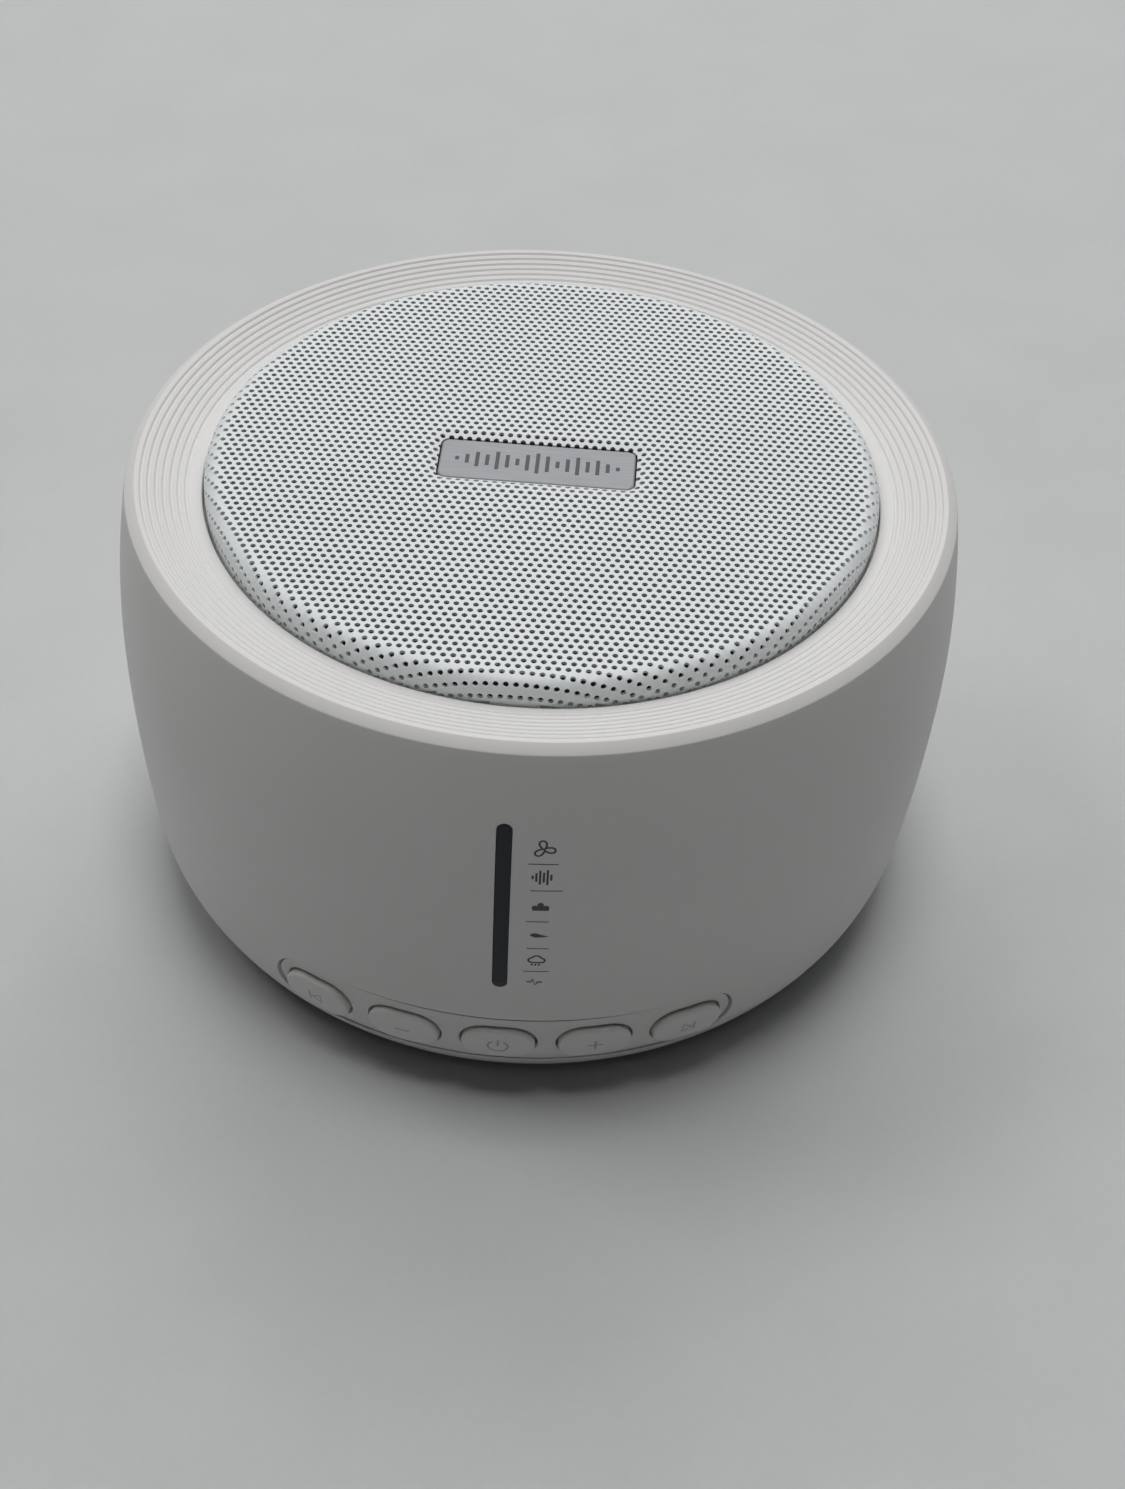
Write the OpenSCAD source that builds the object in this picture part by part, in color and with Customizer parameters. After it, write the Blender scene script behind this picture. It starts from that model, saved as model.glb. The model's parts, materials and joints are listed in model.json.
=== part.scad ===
// Round table-top white noise machine with a perforated grille, a light strip and five push buttons.
// Millimetres. The origin is on the table under the middle, +Z is up, and the buttons face -Y.

/* [Body] */
// Widest diameter of the housing
body_d = 105; // [98:1:112]
// Height of the ring's outer edge above the table
edge_z = 58.8; // [56:0.2:62]
// Wall thickness of the housing
wall = 2.1; // [1.8:0.1:2.2]
// Height of the rubber feet below the base
foot_proud = 0.8; // [0.5:0.1:1.2]
// Radius of the rounded lower corner
corner_r = 21.5; // [20:0.5:24]

/* [Top ring] */
// How far the ring's outer edge lies inside the widest radius
ring_inset = 3.4; // [3:0.1:4]
// Height of the chamfer round the ring
chamfer_h = 0.86; // [0.6:0.02:1.1]
// Fall of the dished ring towards the grille
dish_drop = 2.54; // [2:0.02:2.8]
// Number of fine grooves round the ring
groove_count = 7; // [3:1:7]
// Distance from one groove to the next
groove_pitch = 0.87; // [0.8:0.01:0.9]

/* [Grille] */
// Radius of the grille
grille_r = 41; // [40:0.1:41.1]
// Thickness of the grille's sheet
sheet_t = 0.6; // [0.5:0.05:0.7]
// Radius of the grille's rolled shoulder
shoulder_r = 2; // [1.8:0.1:2.2]
// Rise of the grille's crown above its shoulder
crown_rise = 0.4; // [0.3:0.05:0.6]
// Length of the name plate
plate_w = 23.8; // [18:0.1:26]
// Height of the name plate
plate_h = 7.7; // [6:0.1:9]

/* [Light strip] */
// Width of the light strip
strip_w = 1.8; // [1.4:0.1:2]
// Length of the light strip
strip_len = 27; // [24:0.5:27]
// Distance of the strip's middle below the ring's outer edge
strip_below_edge = 23.4; // [23:0.1:24]

/* [Buttons] */
// Width of one button
key_w = 8.9; // [8.5:0.1:10]
// Height of one button
key_h = 6; // [5:0.1:6.2]
// Angle from one button to the next
key_step = 13.1; // [12.6:0.1:13.5]
// Height of the buttons' middle line
key_z = 10.3; // [10:0.1:10.6]
// How far a button stands out of the body's surface
key_proud = 0.6; // [0.4:0.1:0.9]
// Clearance round a button
key_gap = 0.3; // [0.25:0.05:0.35]
// Travel of a button
key_travel = 0.5; // [0.3:0.1:0.6]
// Radius of the button panel's round ends
panel_r = 5; // [4.8:0.1:5.2]
// Angle from the middle to the centre of a round end
panel_half = 27.7; // [27.5:0.1:28.5]

/* [Loudspeaker] */
// Radius of the loudspeaker's flange
speaker_r = 33; // [32:0.5:33.5]
// Radius of the magnet
magnet_r = 22.5; // [20:0.5:24]
// Height of the magnet ring
magnet_h = 9; // [7:0.5:10]

/* [Hidden] */
$fn = 96;
eps = 0.05;

// Outside of the body: three arcs that run into each other, with a small toe arc at the base.
body_r = body_d / 2;
base_z = foot_proud;
upper_arc = 117.3;
lower_arc = 230;
widest_z = edge_z - 23;
corner_top_z = edge_z - 47;
lower_start = asin((widest_z - corner_top_z) / lower_arc);
corner_cr = body_r - lower_arc * (1 - cos(lower_start)) - corner_r * cos(lower_start);
corner_cz = corner_top_z + corner_r * sin(lower_start);
toe_r = 2;
corner_end = asin((corner_cz - toe_r - base_z) / (corner_r - toe_r));
toe_cr = corner_cr + (corner_r - toe_r) * cos(corner_end);
toe_top_z = corner_cz - corner_r * sin(corner_end);

function arc_drop(r, h) = r - sqrt(r * r - h * h);
function body_at(z) =
    z >= widest_z ? body_r - arc_drop(upper_arc, z - widest_z) :
    z >= corner_top_z ? body_r - arc_drop(lower_arc, widest_z - z) :
    z >= toe_top_z ? corner_cr + sqrt(pow(corner_r, 2) - pow(corner_cz - z, 2)) :
    toe_cr + sqrt(max(0, pow(toe_r, 2) - pow(base_z + toe_r - z, 2)));
// The body's outline from z0 up to z1, moved out by offset.
function body_line(z0, z1, offset, steps) =
    [for (i = [0 : steps]) let (z = z0 + (z1 - z0) * i / steps) [body_at(z) + offset, z]];
function unit(v) = v / norm(v);
function reversed(list) = [for (i = [len(list) - 1 : -1 : 0]) list[i]];
function arc_line(cx, cy, r, from, to, steps) =
    [for (i = [0 : steps]) let (a = from + (to - from) * i / steps) [cx + r * cos(a), cy + r * sin(a)]];

// Top ring.
ring_r = body_r - ring_inset + 0.03;
opening_r = grille_r + 0.3;
dish_slope = dish_drop / (ring_r - grille_r);
function dish_z(r) = edge_z - (ring_r - r) * dish_slope;
groove_depth = 0.14;
groove_half = 0.14;
first_groove_r = ring_r - 0.75;

// Inside of the housing.
channel_z = edge_z - 4.8;
channel_r = 39.6;
deck_top_z = edge_z - 3.4;
deck_z = deck_top_z - 2.4;
deck_r = 29.2;
ring_root_z = deck_z - 1;
lip_z = base_z + 2;
base_open_r = toe_cr - 2;
post_r = 3.5;
post_at = 39;
post_foot_z = lip_z + 2.1;
rib_foot_z = 22;
rib_out = body_r - wall + 0.4;
foot_at = 34;
foot_r = 5;

// Grille and name plate.
tape_t = 0.3;
shoulder_cr = grille_r - shoulder_r;
shoulder_cz = edge_z + 0.6 - shoulder_r;
crown_arc = shoulder_cr * shoulder_cr / (2 * crown_rise) + crown_rise / 2;
crown_z = shoulder_cz + shoulder_r + crown_rise;
plate_t = 0.8;
plate_at = [-0.7, -1.2, 0];
plate_top_z = crown_z - 0.4;
tray_z = plate_top_z - plate_t;
tray_gap = 0.3;
plate_corner = 1.1;

// Light strip.
strip_z = edge_z - strip_below_edge;
strip_gap = 0.05;
divider_front = 48.1;
divider_back = 44.6;
emitter_count = 6;
emitter_pitch = strip_len / emitter_count;
led_board_t = 1;
led_screw_x = 5.2;

// Buttons: each node's stack is given as distances behind the body's surface.
key_corner = key_h / 2 - 0.05;
panel_z = key_z + 0.1;
panel_sink = 0.3;
panel_gap = 0.22;
panel_back = 3.4;
flange_front = panel_back + 0.3;
flange_back = flange_front + 0.8;
key_face_r = body_at(key_z);
stem_end = key_face_r - 5.15;
switch_front = stem_end - key_travel - 0.3;
switch_back = 43.32;
plunger_end = 44.4;
circuit_out = 43.3;
bracket_out = 43;
bracket_in = 41.5;
bracket_half = 36;
bracket_foot_half = 27;
bracket_foot_at = 38;
bracket_foot_z = lip_z + 1.5;
key_stack_top_z = 15.8;
function key_angle(i) = (i - 2) * key_step;

// Loudspeaker, from its flange down.
flange_z = deck_z - 0.8;
flange_t = 1;
roll_r = 1.7;
roll_at = 25.4;
cone_edge_r = 23.3;
neck_z = flange_z - 5.6;
coil_r = 9.65;
coil_t = 0.6;
pole_r = 9.1;
gap_r = 10.9;
shelf_z = flange_z - 7.8;
frame_base_z = flange_z - 12.2;
top_plate_t = 3;
magnet_top_z = frame_base_z - top_plate_t;
yoke_t = 3;
yoke_top_z = magnet_top_z - magnet_h;
ear_at = 30.9;

// Main board.
board_z = 8;
board_t = 1.6;
board_top_z = board_z + board_t;
board_x = 22;
board_front = -14;
board_rear = 36;
board_tail = 46.5;
board_screw_x = 18.5;
board_screw_y = [board_front + 3.5, board_rear - 3.5];
inlet_w = 8.94;
inlet_h = 3.26;
inlet_z = board_top_z + inlet_h / 2;
inlet_mouth = body_at(inlet_z) - 1;
inlet_len = 9.2;
led_ribbon_x = 0;
key_ribbon_x = 13;
socket_x = 12;
socket_y = 22;
lead_gap = 2.5;

module at_front(angle) rotate([0, 0, angle]) children();

// A flat shape standing in XZ, extruded outwards from y = -r0 to y = -r1.
module outward(r0, r1) translate([0, -r0, 0]) rotate([90, 0, 0]) linear_extrude(r1 - r0) children();

module stadium(w, h) {
    r = min(w, h) / 2;
    if (w > h) {
        square([w - h, h], center = true);
        for (s = [-1, 1]) translate([s * (w - h) / 2, 0]) circle(r);
    } else {
        square([w, h - w], center = true);
        for (s = [-1, 1]) translate([0, s * (h - w) / 2]) circle(r);
    }
}

module rounded(w, h, r) {
    square([w - 2 * r, h], center = true);
    square([w, h - 2 * r], center = true);
    for (x = [-1, 1], y = [-1, 1]) translate([x * (w / 2 - r), y * (h / 2 - r)]) circle(r);
}

// A layer that follows the body's surface, between two depths behind it.
module body_layer(z0, z1, front, back, half, steps = 6) {
    rotate([0, 0, -90 - half])
        rotate_extrude(angle = 2 * half)
            polygon(concat(body_line(z0, z1, -front, steps), reversed(body_line(z0, z1, -back, steps))));
}

// A stadium wrapped round the axis, as a cutter that reaches from r0 to r1.
module wrapped_stadium(half, r, z, r0, r1) {
    rotate([0, 0, -90 - half])
        rotate_extrude(angle = 2 * half)
            translate([r0, z - r]) square([r1 - r0, 2 * r]);
    for (s = [-1, 1])
        at_front(s * half)
            translate([0, 0, z]) outward(r0, r1) circle(r);
}

module ring_of(count, radius, first = 0)
    for (i = [0 : count - 1]) rotate([0, 0, first + i * 360 / count]) translate([0, -radius, 0]) children();

// A pan-head screw that points up from its head's underside at z = 0.
module screw(head_r, head_h, shank_r, length) {
    difference() {
        translate([0, 0, -head_h]) cylinder(r = head_r, h = head_h);
        for (a = [0, 90])
            rotate([0, 0, a])
                translate([-head_r * 0.55, -0.25, -head_h - eps])
                    cube([head_r * 1.1, 0.5, head_h * 0.5 + eps]);
    }
    cylinder(r = shank_r, h = length);
}

module screw_down(head_r, head_h, shank_r, length) mirror([0, 0, 1]) screw(head_r, head_h, shank_r, length);

module housing_shell() {
    grooves = [for (i = [0 : groove_count - 1])
        let (r = first_groove_r - i * groove_pitch)
            each [[r + groove_half, dish_z(r + groove_half)], [r, dish_z(r) - groove_depth],
                  [r - groove_half, dish_z(r - groove_half)]]];
    outside = body_line(base_z, edge_z - chamfer_h, 0, 30);
    inside = body_line(lip_z, ring_root_z, -wall, 24);
    rotate_extrude()
        polygon(concat(
            outside,
            [[ring_r, edge_z]],
            grooves,
            [[opening_r, dish_z(opening_r)], [opening_r, channel_z], [channel_r, channel_z],
             [channel_r, deck_top_z], [deck_r, deck_top_z], [deck_r, deck_z], [channel_r - 2, deck_z],
             [channel_r - 1, ring_root_z]],
            reversed(inside),
            [[base_open_r, lip_z], [base_open_r, base_z]]));
}

module housing() color("white") difference() {
    union() {
        housing_shell();
        for (i = [0 : 3]) rotate([0, 0, 45 + 90 * i]) {
            translate([0, -post_at, post_foot_z]) cylinder(r = post_r, h = deck_z + 0.5 - post_foot_z);
            translate([-0.8, -rib_out, rib_foot_z])
                cube([1.6, rib_out - post_at, ring_root_z + 0.5 - rib_foot_z]);
        }
        for (s = [-1, 1])
            translate([s * led_screw_x, 0, strip_z]) outward(divider_back, body_at(strip_z) - 1) circle(1.8);
    }
    // Window for the light strip.
    translate([0, 0, strip_z]) outward(45, 56) stadium(strip_w, strip_len);
    // Window for the button panel.
    wrapped_stadium(panel_half, panel_r, panel_z, 44, 56);
    // Power inlet: a mouth through the wall in a shallow outer recess.
    translate([0, 0, inlet_z]) rotate([0, 0, 180]) {
        outward(45, 56) stadium(inlet_w + 0.7, inlet_h + 0.7);
        outward(inlet_mouth + 0.2, 56) stadium(inlet_w + 3.4, inlet_h + 3.4);
    }
    // Pilot holes for the base, light board and loudspeaker screws.
    ring_of(4, post_at, 45) translate([0, 0, post_foot_z - 1]) cylinder(r = 1.35, h = 11);
    for (s = [-1, 1])
        translate([s * led_screw_x, 0, strip_z]) outward(divider_back - 1, divider_back + 4) circle(1.05);
    ring_of(4, ear_at, 45) translate([0, 0, deck_z - 1]) cylinder(r = 1.25, h = 3.1);
}

module grille() color("whitesmoke") difference() {
    union() {
        rotate_extrude() {
            outer = concat(
                [for (i = [0 : 7]) let (r = shoulder_cr * i / 7) [r, crown_z - arc_drop(crown_arc, r)]],
                arc_line(shoulder_cr, shoulder_cz, shoulder_r, 80, 0, 8));
            inner = concat(
                [for (i = [0 : 7]) let (r = shoulder_cr * i / 7) [r, crown_z - sheet_t - arc_drop(crown_arc, r)]],
                arc_line(shoulder_cr, shoulder_cz, shoulder_r - sheet_t, 80, 0, 8));
            skirt_z = channel_z + tape_t;
            polygon(concat(outer, [[grille_r, skirt_z], [grille_r - sheet_t, skirt_z]], reversed(inner)));
        }
        // Underside of the pressed tray that holds the name plate.
        translate(plate_at + [0, 0, tray_z - sheet_t])
            linear_extrude(crown_z - tray_z)
                rounded(plate_w + 2 * (tray_gap + sheet_t), plate_h + 2 * (tray_gap + sheet_t),
                        plate_corner + tray_gap + sheet_t);
    }
    translate(plate_at + [0, 0, tray_z])
        linear_extrude(4)
            rounded(plate_w + 2 * tray_gap, plate_h + 2 * tray_gap, plate_corner + tray_gap);
}

module grille_tape() color("gainsboro") translate([0, 0, channel_z]) difference() {
    cylinder(r = opening_r - 0.1, h = tape_t);
    translate([0, 0, -1]) cylinder(r = channel_r + 0.1, h = tape_t + 2);
}

module dust_cloth() color("dimgray") translate([0, 0, deck_top_z]) cylinder(r = channel_r - 0.4, h = 0.4);

module nameplate() color("silver") translate(plate_at + [0, 0, tray_z]) {
    linear_extrude(plate_t - 0.3) rounded(plate_w, plate_h, plate_corner);
    linear_extrude(plate_t) rounded(plate_w - 0.6, plate_h - 0.6, plate_corner - 0.3);
}

module led_window() color("midnightblue") {
    margin = 1.6;
    intersection() {
        translate([0, 0, strip_z]) outward(46, 56) stadium(strip_w - 2 * strip_gap, strip_len - 2 * strip_gap);
        body_layer(strip_z - 15, strip_z + 15, 0.1, wall + 0.2, 4, 10);
    }
    intersection() {
        translate([0, 0, strip_z]) outward(45, 56) rounded(4.4, strip_len + 2 * margin, 0.6);
        body_layer(strip_z - 16, strip_z + 16, wall + 0.1, wall + 1.1, 5, 10);
    }
}

module button_panel() color("white") difference() {
    union() {
        intersection() {
            wrapped_stadium(panel_half, panel_r - panel_gap, panel_z, 42, 56);
            body_layer(panel_z - 5.4, panel_z + 5.4, panel_sink, wall + 0.2, 36);
        }
        intersection() {
            wrapped_stadium(panel_half, panel_r + 1.6, panel_z, 40, 56);
            body_layer(panel_z - 7, panel_z + 7, wall + 0.1, panel_back, 36, 8);
        }
    }
    for (i = [0 : 4])
        at_front(key_angle(i))
            translate([0, 0, key_z])
                outward(40, 56) rounded(key_w + 2 * key_gap, key_h + 2 * key_gap, key_corner + key_gap);
}

module button(i) color("white") at_front(key_angle(i)) {
    intersection() {
        translate([0, 0, key_z]) outward(42, 56) rounded(key_w, key_h, key_corner);
        body_layer(key_z - 4, key_z + 4, -key_proud, flange_back - 0.5, 7);
    }
    intersection() {
        translate([0, 0, key_z]) outward(42, 56) rounded(key_w + 0.7, key_h + 1.6, key_corner);
        body_layer(key_z - 4.2, key_z + 4.2, flange_front, flange_back, 8);
    }
    translate([0, 0, key_z]) outward(stem_end, stem_end + 1) circle(1.6);
}

module plunger(i) color("dimgray") at_front(key_angle(i))
    translate([0, 0, key_z]) outward(plunger_end, stem_end) circle(0.9);

module key_switches() color("black")
    for (i = [0 : 4])
        at_front(key_angle(i))
            translate([0, 0, key_z])
                difference() {
                    outward(switch_back, switch_front) square(4.5, center = true);
                    outward(plunger_end - key_travel - 0.3, switch_front + 1) circle(1.2);
                }

// A plain curved band behind the buttons.
module band(r0, r1, z0, z1, half) rotate([0, 0, -90 - half])
    rotate_extrude(angle = 2 * half) translate([r0, z0]) square([r1 - r0, z1 - z0]);

module key_circuit() color("darkgoldenrod") band(bracket_out, circuit_out, 5.2, key_stack_top_z, bracket_half - 2);

// Places its children at the two screws that hold the bracket's feet, at the height z.
module at_bracket_feet(z)
    for (s = [-1, 1]) at_front(s * bracket_foot_half) translate([0, -bracket_foot_at, z]) children();

module key_bracket() color("lightgray") difference() {
    union() {
        band(bracket_in, bracket_out, lip_z, key_stack_top_z, bracket_half);
        for (s = [-1, 1])
            rotate([0, 0, s * bracket_foot_half])
                band(bracket_foot_at - 2.5, bracket_in + 0.5, lip_z, bracket_foot_z, 6);
    }
    at_bracket_feet(lip_z - 1) cylinder(r = 1.3, h = 4);
}

module bracket_screws() color("silver") at_bracket_feet(bracket_foot_z) screw_down(2, 1.2, 1, 2.7);

module light_divider() color("white") difference() {
    translate([0, 0, strip_z]) outward(divider_back, divider_front) rounded(6, strip_len + 1.6, 0.8);
    for (i = [0 : emitter_count - 1])
        translate([0, 0, strip_z + (i - (emitter_count - 1) / 2) * emitter_pitch])
            outward(divider_back - 1, divider_front + 1) square([4, emitter_pitch - 0.8], center = true);
}

module light_emitters() color("lightyellow")
    for (i = [0 : emitter_count - 1])
        translate([0, 0, strip_z + (i - (emitter_count - 1) / 2) * emitter_pitch])
            outward(divider_back, divider_back + 0.7) square([2, 1.25], center = true);

module led_board() color("seagreen") difference() {
    translate([0, 0, strip_z]) outward(divider_back - led_board_t, divider_back) rounded(14, 30, 1);
    for (s = [-1, 1]) translate([s * led_screw_x, 0, strip_z]) outward(40, 50) circle(1.1);
}

module led_screws() color("silver")
    for (s = [-1, 1])
        translate([s * led_screw_x, -divider_back + led_board_t, strip_z])
            rotate([90, 0, 0]) screw(1.9, 1.1, 0.95, 4);

module speaker_basket() color("dimgray") difference() {
    rotate_extrude() polygon([
        [speaker_r, flange_z], [speaker_r, flange_z - flange_t], [28.6, flange_z - flange_t],
        [23.2, shelf_z - 1], [20.6, shelf_z - 1], [20.6, frame_base_z], [11.6, frame_base_z],
        [11.6, frame_base_z + 1], [19.6, frame_base_z + 1], [19.6, shelf_z], [22.5, shelf_z],
        [27.5, flange_z - 0.8], [27.5, flange_z]]);
    // Windows in the sloping wall, and screw holes in the flange.
    for (i = [0 : 3])
        rotate([0, 0, 45 + 90 * i])
            translate([-9, -30, shelf_z + 1.2])
                cube([18, 12, 4]);
    ring_of(4, ear_at, 45) translate([0, 0, flange_z - 2]) cylinder(r = 1.4, h = 4);
}

module speaker_gasket() color("black") difference() {
    translate([0, 0, flange_z]) cylinder(r = speaker_r, h = 0.8);
    translate([0, 0, flange_z - 1]) cylinder(r = deck_r + 0.1, h = 3);
    ring_of(4, ear_at, 45) translate([0, 0, flange_z - 1]) cylinder(r = 1.4, h = 3);
}

module speaker_screws() color("silver")
    ring_of(4, ear_at, 45) translate([0, 0, flange_z - flange_t]) screw(2.3, 1.3, 1.15, 3.6);

module surround() color("black") rotate_extrude() {
    outer_roll = arc_line(roll_at, flange_z + 0.3, roll_r, 0, 180, 12);
    inner_roll = arc_line(roll_at, flange_z + 0.3, roll_r - 0.35, 0, 180, 12);
    polygon(concat(
        [[deck_r - 0.1, flange_z], [deck_r - 0.1, flange_z + 0.3]],
        outer_roll,
        reversed(inner_roll),
        [[roll_at + roll_r - 0.35, flange_z]]));
}

module speaker_cone() color("saddlebrown") rotate_extrude() polygon([
    [cone_edge_r, flange_z + 0.1], [cone_edge_r, flange_z - 0.5], [coil_r + 0.7, neck_z - 0.5],
    [coil_r, neck_z - 0.5], [coil_r, neck_z + 0.1]]);

module dust_cap() color("black") rotate_extrude() {
    cap_r = 10.6;
    rise = 3;
    ball = cap_r * cap_r / (2 * rise) + rise / 2;
    foot_z = neck_z + 0.54;
    outer = [for (i = [0 : 8]) let (r = cap_r * i / 8) [r, foot_z + rise - arc_drop(ball, r)]];
    inner = [for (i = [0 : 8]) let (r = cap_r * i / 8) [r, foot_z + rise - 0.5 - arc_drop(ball, r) * 0.85]];
    polygon(concat(outer, reversed(inner)));
}

module voice_coil() color("chocolate") difference() {
    union() {
        translate([0, 0, magnet_top_z - 1.2]) cylinder(r = coil_r, h = neck_z + 0.1 - magnet_top_z + 1.2);
        translate([0, 0, magnet_top_z - 1]) cylinder(r = coil_r + coil_t, h = top_plate_t + 2);
    }
    translate([0, 0, magnet_top_z - 3]) cylinder(r = coil_r - 0.2, h = 30);
}

spider_in = coil_r + 0.4;
spider_out = 19.4;
function spider_z(r) = shelf_z + 0.15 + 0.35 * sin(360 * (spider_out - r) / 2.6);

module spider() color("goldenrod") rotate_extrude() {
    radii = [for (i = [0 : 36]) spider_in + (spider_out - spider_in) * i / 36];
    polygon(concat(
        [for (r = radii) [r, spider_z(r) + 0.15]],
        [[22.2, shelf_z + 0.3], [22.2, shelf_z], [spider_out + 0.2, shelf_z]],
        [for (r = reversed(radii)) [r, spider_z(r) - 0.15]]));
}

module washer(r, hole, h) difference() {
    cylinder(r = r, h = h);
    translate([0, 0, -1]) cylinder(r = hole, h = h + 2);
}

module speaker_top_plate() color("silver") translate([0, 0, magnet_top_z]) washer(magnet_r - 1.5, gap_r, top_plate_t);

module speaker_magnet() color("dimgray") translate([0, 0, yoke_top_z]) washer(magnet_r, 11.6, magnet_h);

module speaker_yoke() color("silver") translate([0, 0, yoke_top_z - yoke_t]) {
    cylinder(r = magnet_r - 1.5, h = yoke_t);
    cylinder(r = pole_r, h = yoke_t + magnet_h + top_plate_t);
}

module speaker_terminals() color("peru") {
    translate([-5, 29.6, flange_z - flange_t - 5]) cube([10, 1.2, 5]);
    for (s = [-1, 1]) translate([s * lead_gap - 0.8, 30, flange_z - flange_t - 6.6]) cube([1.6, 0.4, 1.7]);
}

// A round tube along a list of points, as one closed surface.
module tube(path, r, sides = 8) {
    n = len(path);
    tangent = [for (i = [0 : n - 1]) unit(path[min(i + 1, n - 1)] - path[max(i - 1, 0)])];
    points = [for (i = [0 : n - 1])
        let (u = unit(cross(tangent[i], [0, 1, 0.2])), v = cross(tangent[i], u))
            for (k = [0 : sides - 1]) path[i] + r * (cos(360 * k / sides) * u + sin(360 * k / sides) * v)];
    walls = [for (i = [0 : n - 2], k = [0 : sides - 1])
        let (a = i * sides + k, b = i * sides + (k + 1) % sides)
            each [[a, b, b + sides], [a, b + sides, a + sides]]];
    start_cap = [for (k = [1 : sides - 2]) [0, k + 1, k]];
    end_cap = [for (k = [1 : sides - 2]) [(n - 1) * sides, (n - 1) * sides + k, (n - 1) * sides + k + 1]];
    polyhedron(points, concat(walls, start_cap, end_cap));
}

function bezier(a, b, c, d, steps) = [for (i = [0 : steps]) let (t = i / steps, s = 1 - t)
    s * s * s * a + 3 * s * s * t * b + 3 * s * t * t * c + t * t * t * d];

module speaker_leads() color("firebrick") {
    tag_z = flange_z - flange_t - 6.6;
    socket_top = board_top_z + 5;
    for (s = [-1, 1])
        tube(bezier([s * lead_gap, 30.2, tag_z], [s * lead_gap, 30.2, tag_z - 16],
                    [socket_x + s * 1.25, socket_y + 2, 28], [socket_x + s * 1.25, socket_y, socket_top], 18), 0.6);
}

module main_board() color("seagreen") difference() {
    union() {
        translate([-board_x, board_front, board_z]) cube([2 * board_x, board_rear - board_front, board_t]);
        translate([-8, board_rear - 1, board_z]) cube([16, board_tail - board_rear + 1, board_t]);
    }
    for (x = [-1, 1], y = board_screw_y)
        translate([x * board_screw_x, y, board_z - 1]) cylinder(r = 1.35, h = board_t + 2);
}

module board_screws() color("silver")
    for (x = [-1, 1], y = board_screw_y)
        translate([x * board_screw_x, y, board_top_z]) screw_down(2.3, 1.3, 1.15, 5);

module sound_chip() color("black") translate([-9, 1, board_top_z]) cube([10, 10, 1.4]);

module amplifier_chip() color("black") translate([9.5, 5, board_top_z]) cube([5, 6, 1.5]);

module capacitors() color("darkslategray")
    for (p = [[-14, 16], [-14, 24], [-6, 24]]) translate([p[0], p[1], board_top_z]) {
        cylinder(r = 3.15, h = 7.7);
        translate([-3.3, -3.3, 0]) cube([6.6, 6.6, 1]);
    }

module speaker_socket() color("ivory") translate([socket_x - 3.5, socket_y - 2.25, board_top_z]) cube([7, 4.5, 5]);

module ribbon_sockets() color("ivory")
    for (x = [led_ribbon_x, key_ribbon_x]) translate([x - 3, board_front + 0.5, board_top_z]) cube([6, 3, 2.2]);

// A flat cable of the given width whose middle line lies in the YZ plane.
module flat_cable(path, x, width) {
    n = len(path);
    side = [for (i = [0 : n - 1]) let (d = unit(path[min(i + 1, n - 1)] - path[max(i - 1, 0)])) [-d[1], d[0]]];
    translate([x - width / 2, 0, 0])
        rotate([90, 0, 90])
            linear_extrude(width)
                polygon(concat([for (i = [0 : n - 1]) path[i] + 0.15 * side[i]],
                               [for (i = [n - 1 : -1 : 0]) path[i] - 0.15 * side[i]]));
}

module led_ribbon() color("ivory") {
    y0 = -(divider_back - led_board_t) + 0.2;
    flat_cable(concat([[y0, strip_z - 9]],
                      bezier([y0, strip_z - 13], [y0, strip_z - 21], [-12, 24], [-12, board_top_z + 2.2], 12)),
               led_ribbon_x, 5);
}

module key_ribbon() color("ivory") {
    y0 = -sqrt(pow(circuit_out - 0.15, 2) - pow(key_ribbon_x, 2));
    flat_cable(bezier([y0, key_stack_top_z + eps], [y0 + 1, 22], [-12, 21], [-12, board_top_z + 2.2], 14), key_ribbon_x, 4);
}

module power_inlet() color("silver") translate([0, 0, inlet_z]) rotate([0, 0, 180]) {
    difference() {
        outward(inlet_mouth - inlet_len, inlet_mouth) stadium(inlet_w, inlet_h);
        outward(inlet_mouth - 6.4, inlet_mouth + 1) stadium(inlet_w - 0.64, inlet_h - 0.64);
    }
    outward(inlet_mouth - 6.6, inlet_mouth - 1.2) square([6.7, 0.7], center = true);
}

module base_plate() color("white") difference() {
    union() {
        translate([0, 0, base_z]) cylinder(r = base_open_r - 0.2, h = lip_z - base_z);
        ring_of(4, post_at, 45) translate([0, 0, lip_z - 0.5]) cylinder(r = 4.2, h = 2.5);
        for (x = [-1, 1], y = board_screw_y)
            translate([x * board_screw_x, y, lip_z - 0.5]) cylinder(r = 2.8, h = board_z - lip_z + 0.5);
    }
    ring_of(4, post_at, 45) {
        translate([0, 0, base_z - 1]) cylinder(r = 2.8, h = 3);
        translate([0, 0, base_z - 1]) cylinder(r = 1.45, h = 6);
    }
    for (x = [-1, 1], y = board_screw_y)
        translate([x * board_screw_x, y, lip_z]) cylinder(r = 1.25, h = 8);
    at_bracket_feet(base_z + 0.6) cylinder(r = 1.1, h = 4);
    ring_of(4, foot_at) translate([0, 0, base_z - 1]) cylinder(r = foot_r + 0.2, h = 1.7);
}

module base_screws() color("silver")
    ring_of(4, post_at, 45) translate([0, 0, base_z + 2]) screw(2.5, 1.5, 1.25, 11);

module rubber_feet() color("lightgray")
    ring_of(4, foot_at) {
        cylinder(r1 = foot_r - 0.4, r2 = foot_r, h = 0.4);
        translate([0, 0, 0.4]) cylinder(r = foot_r, h = base_z + 0.3);
    }

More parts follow.
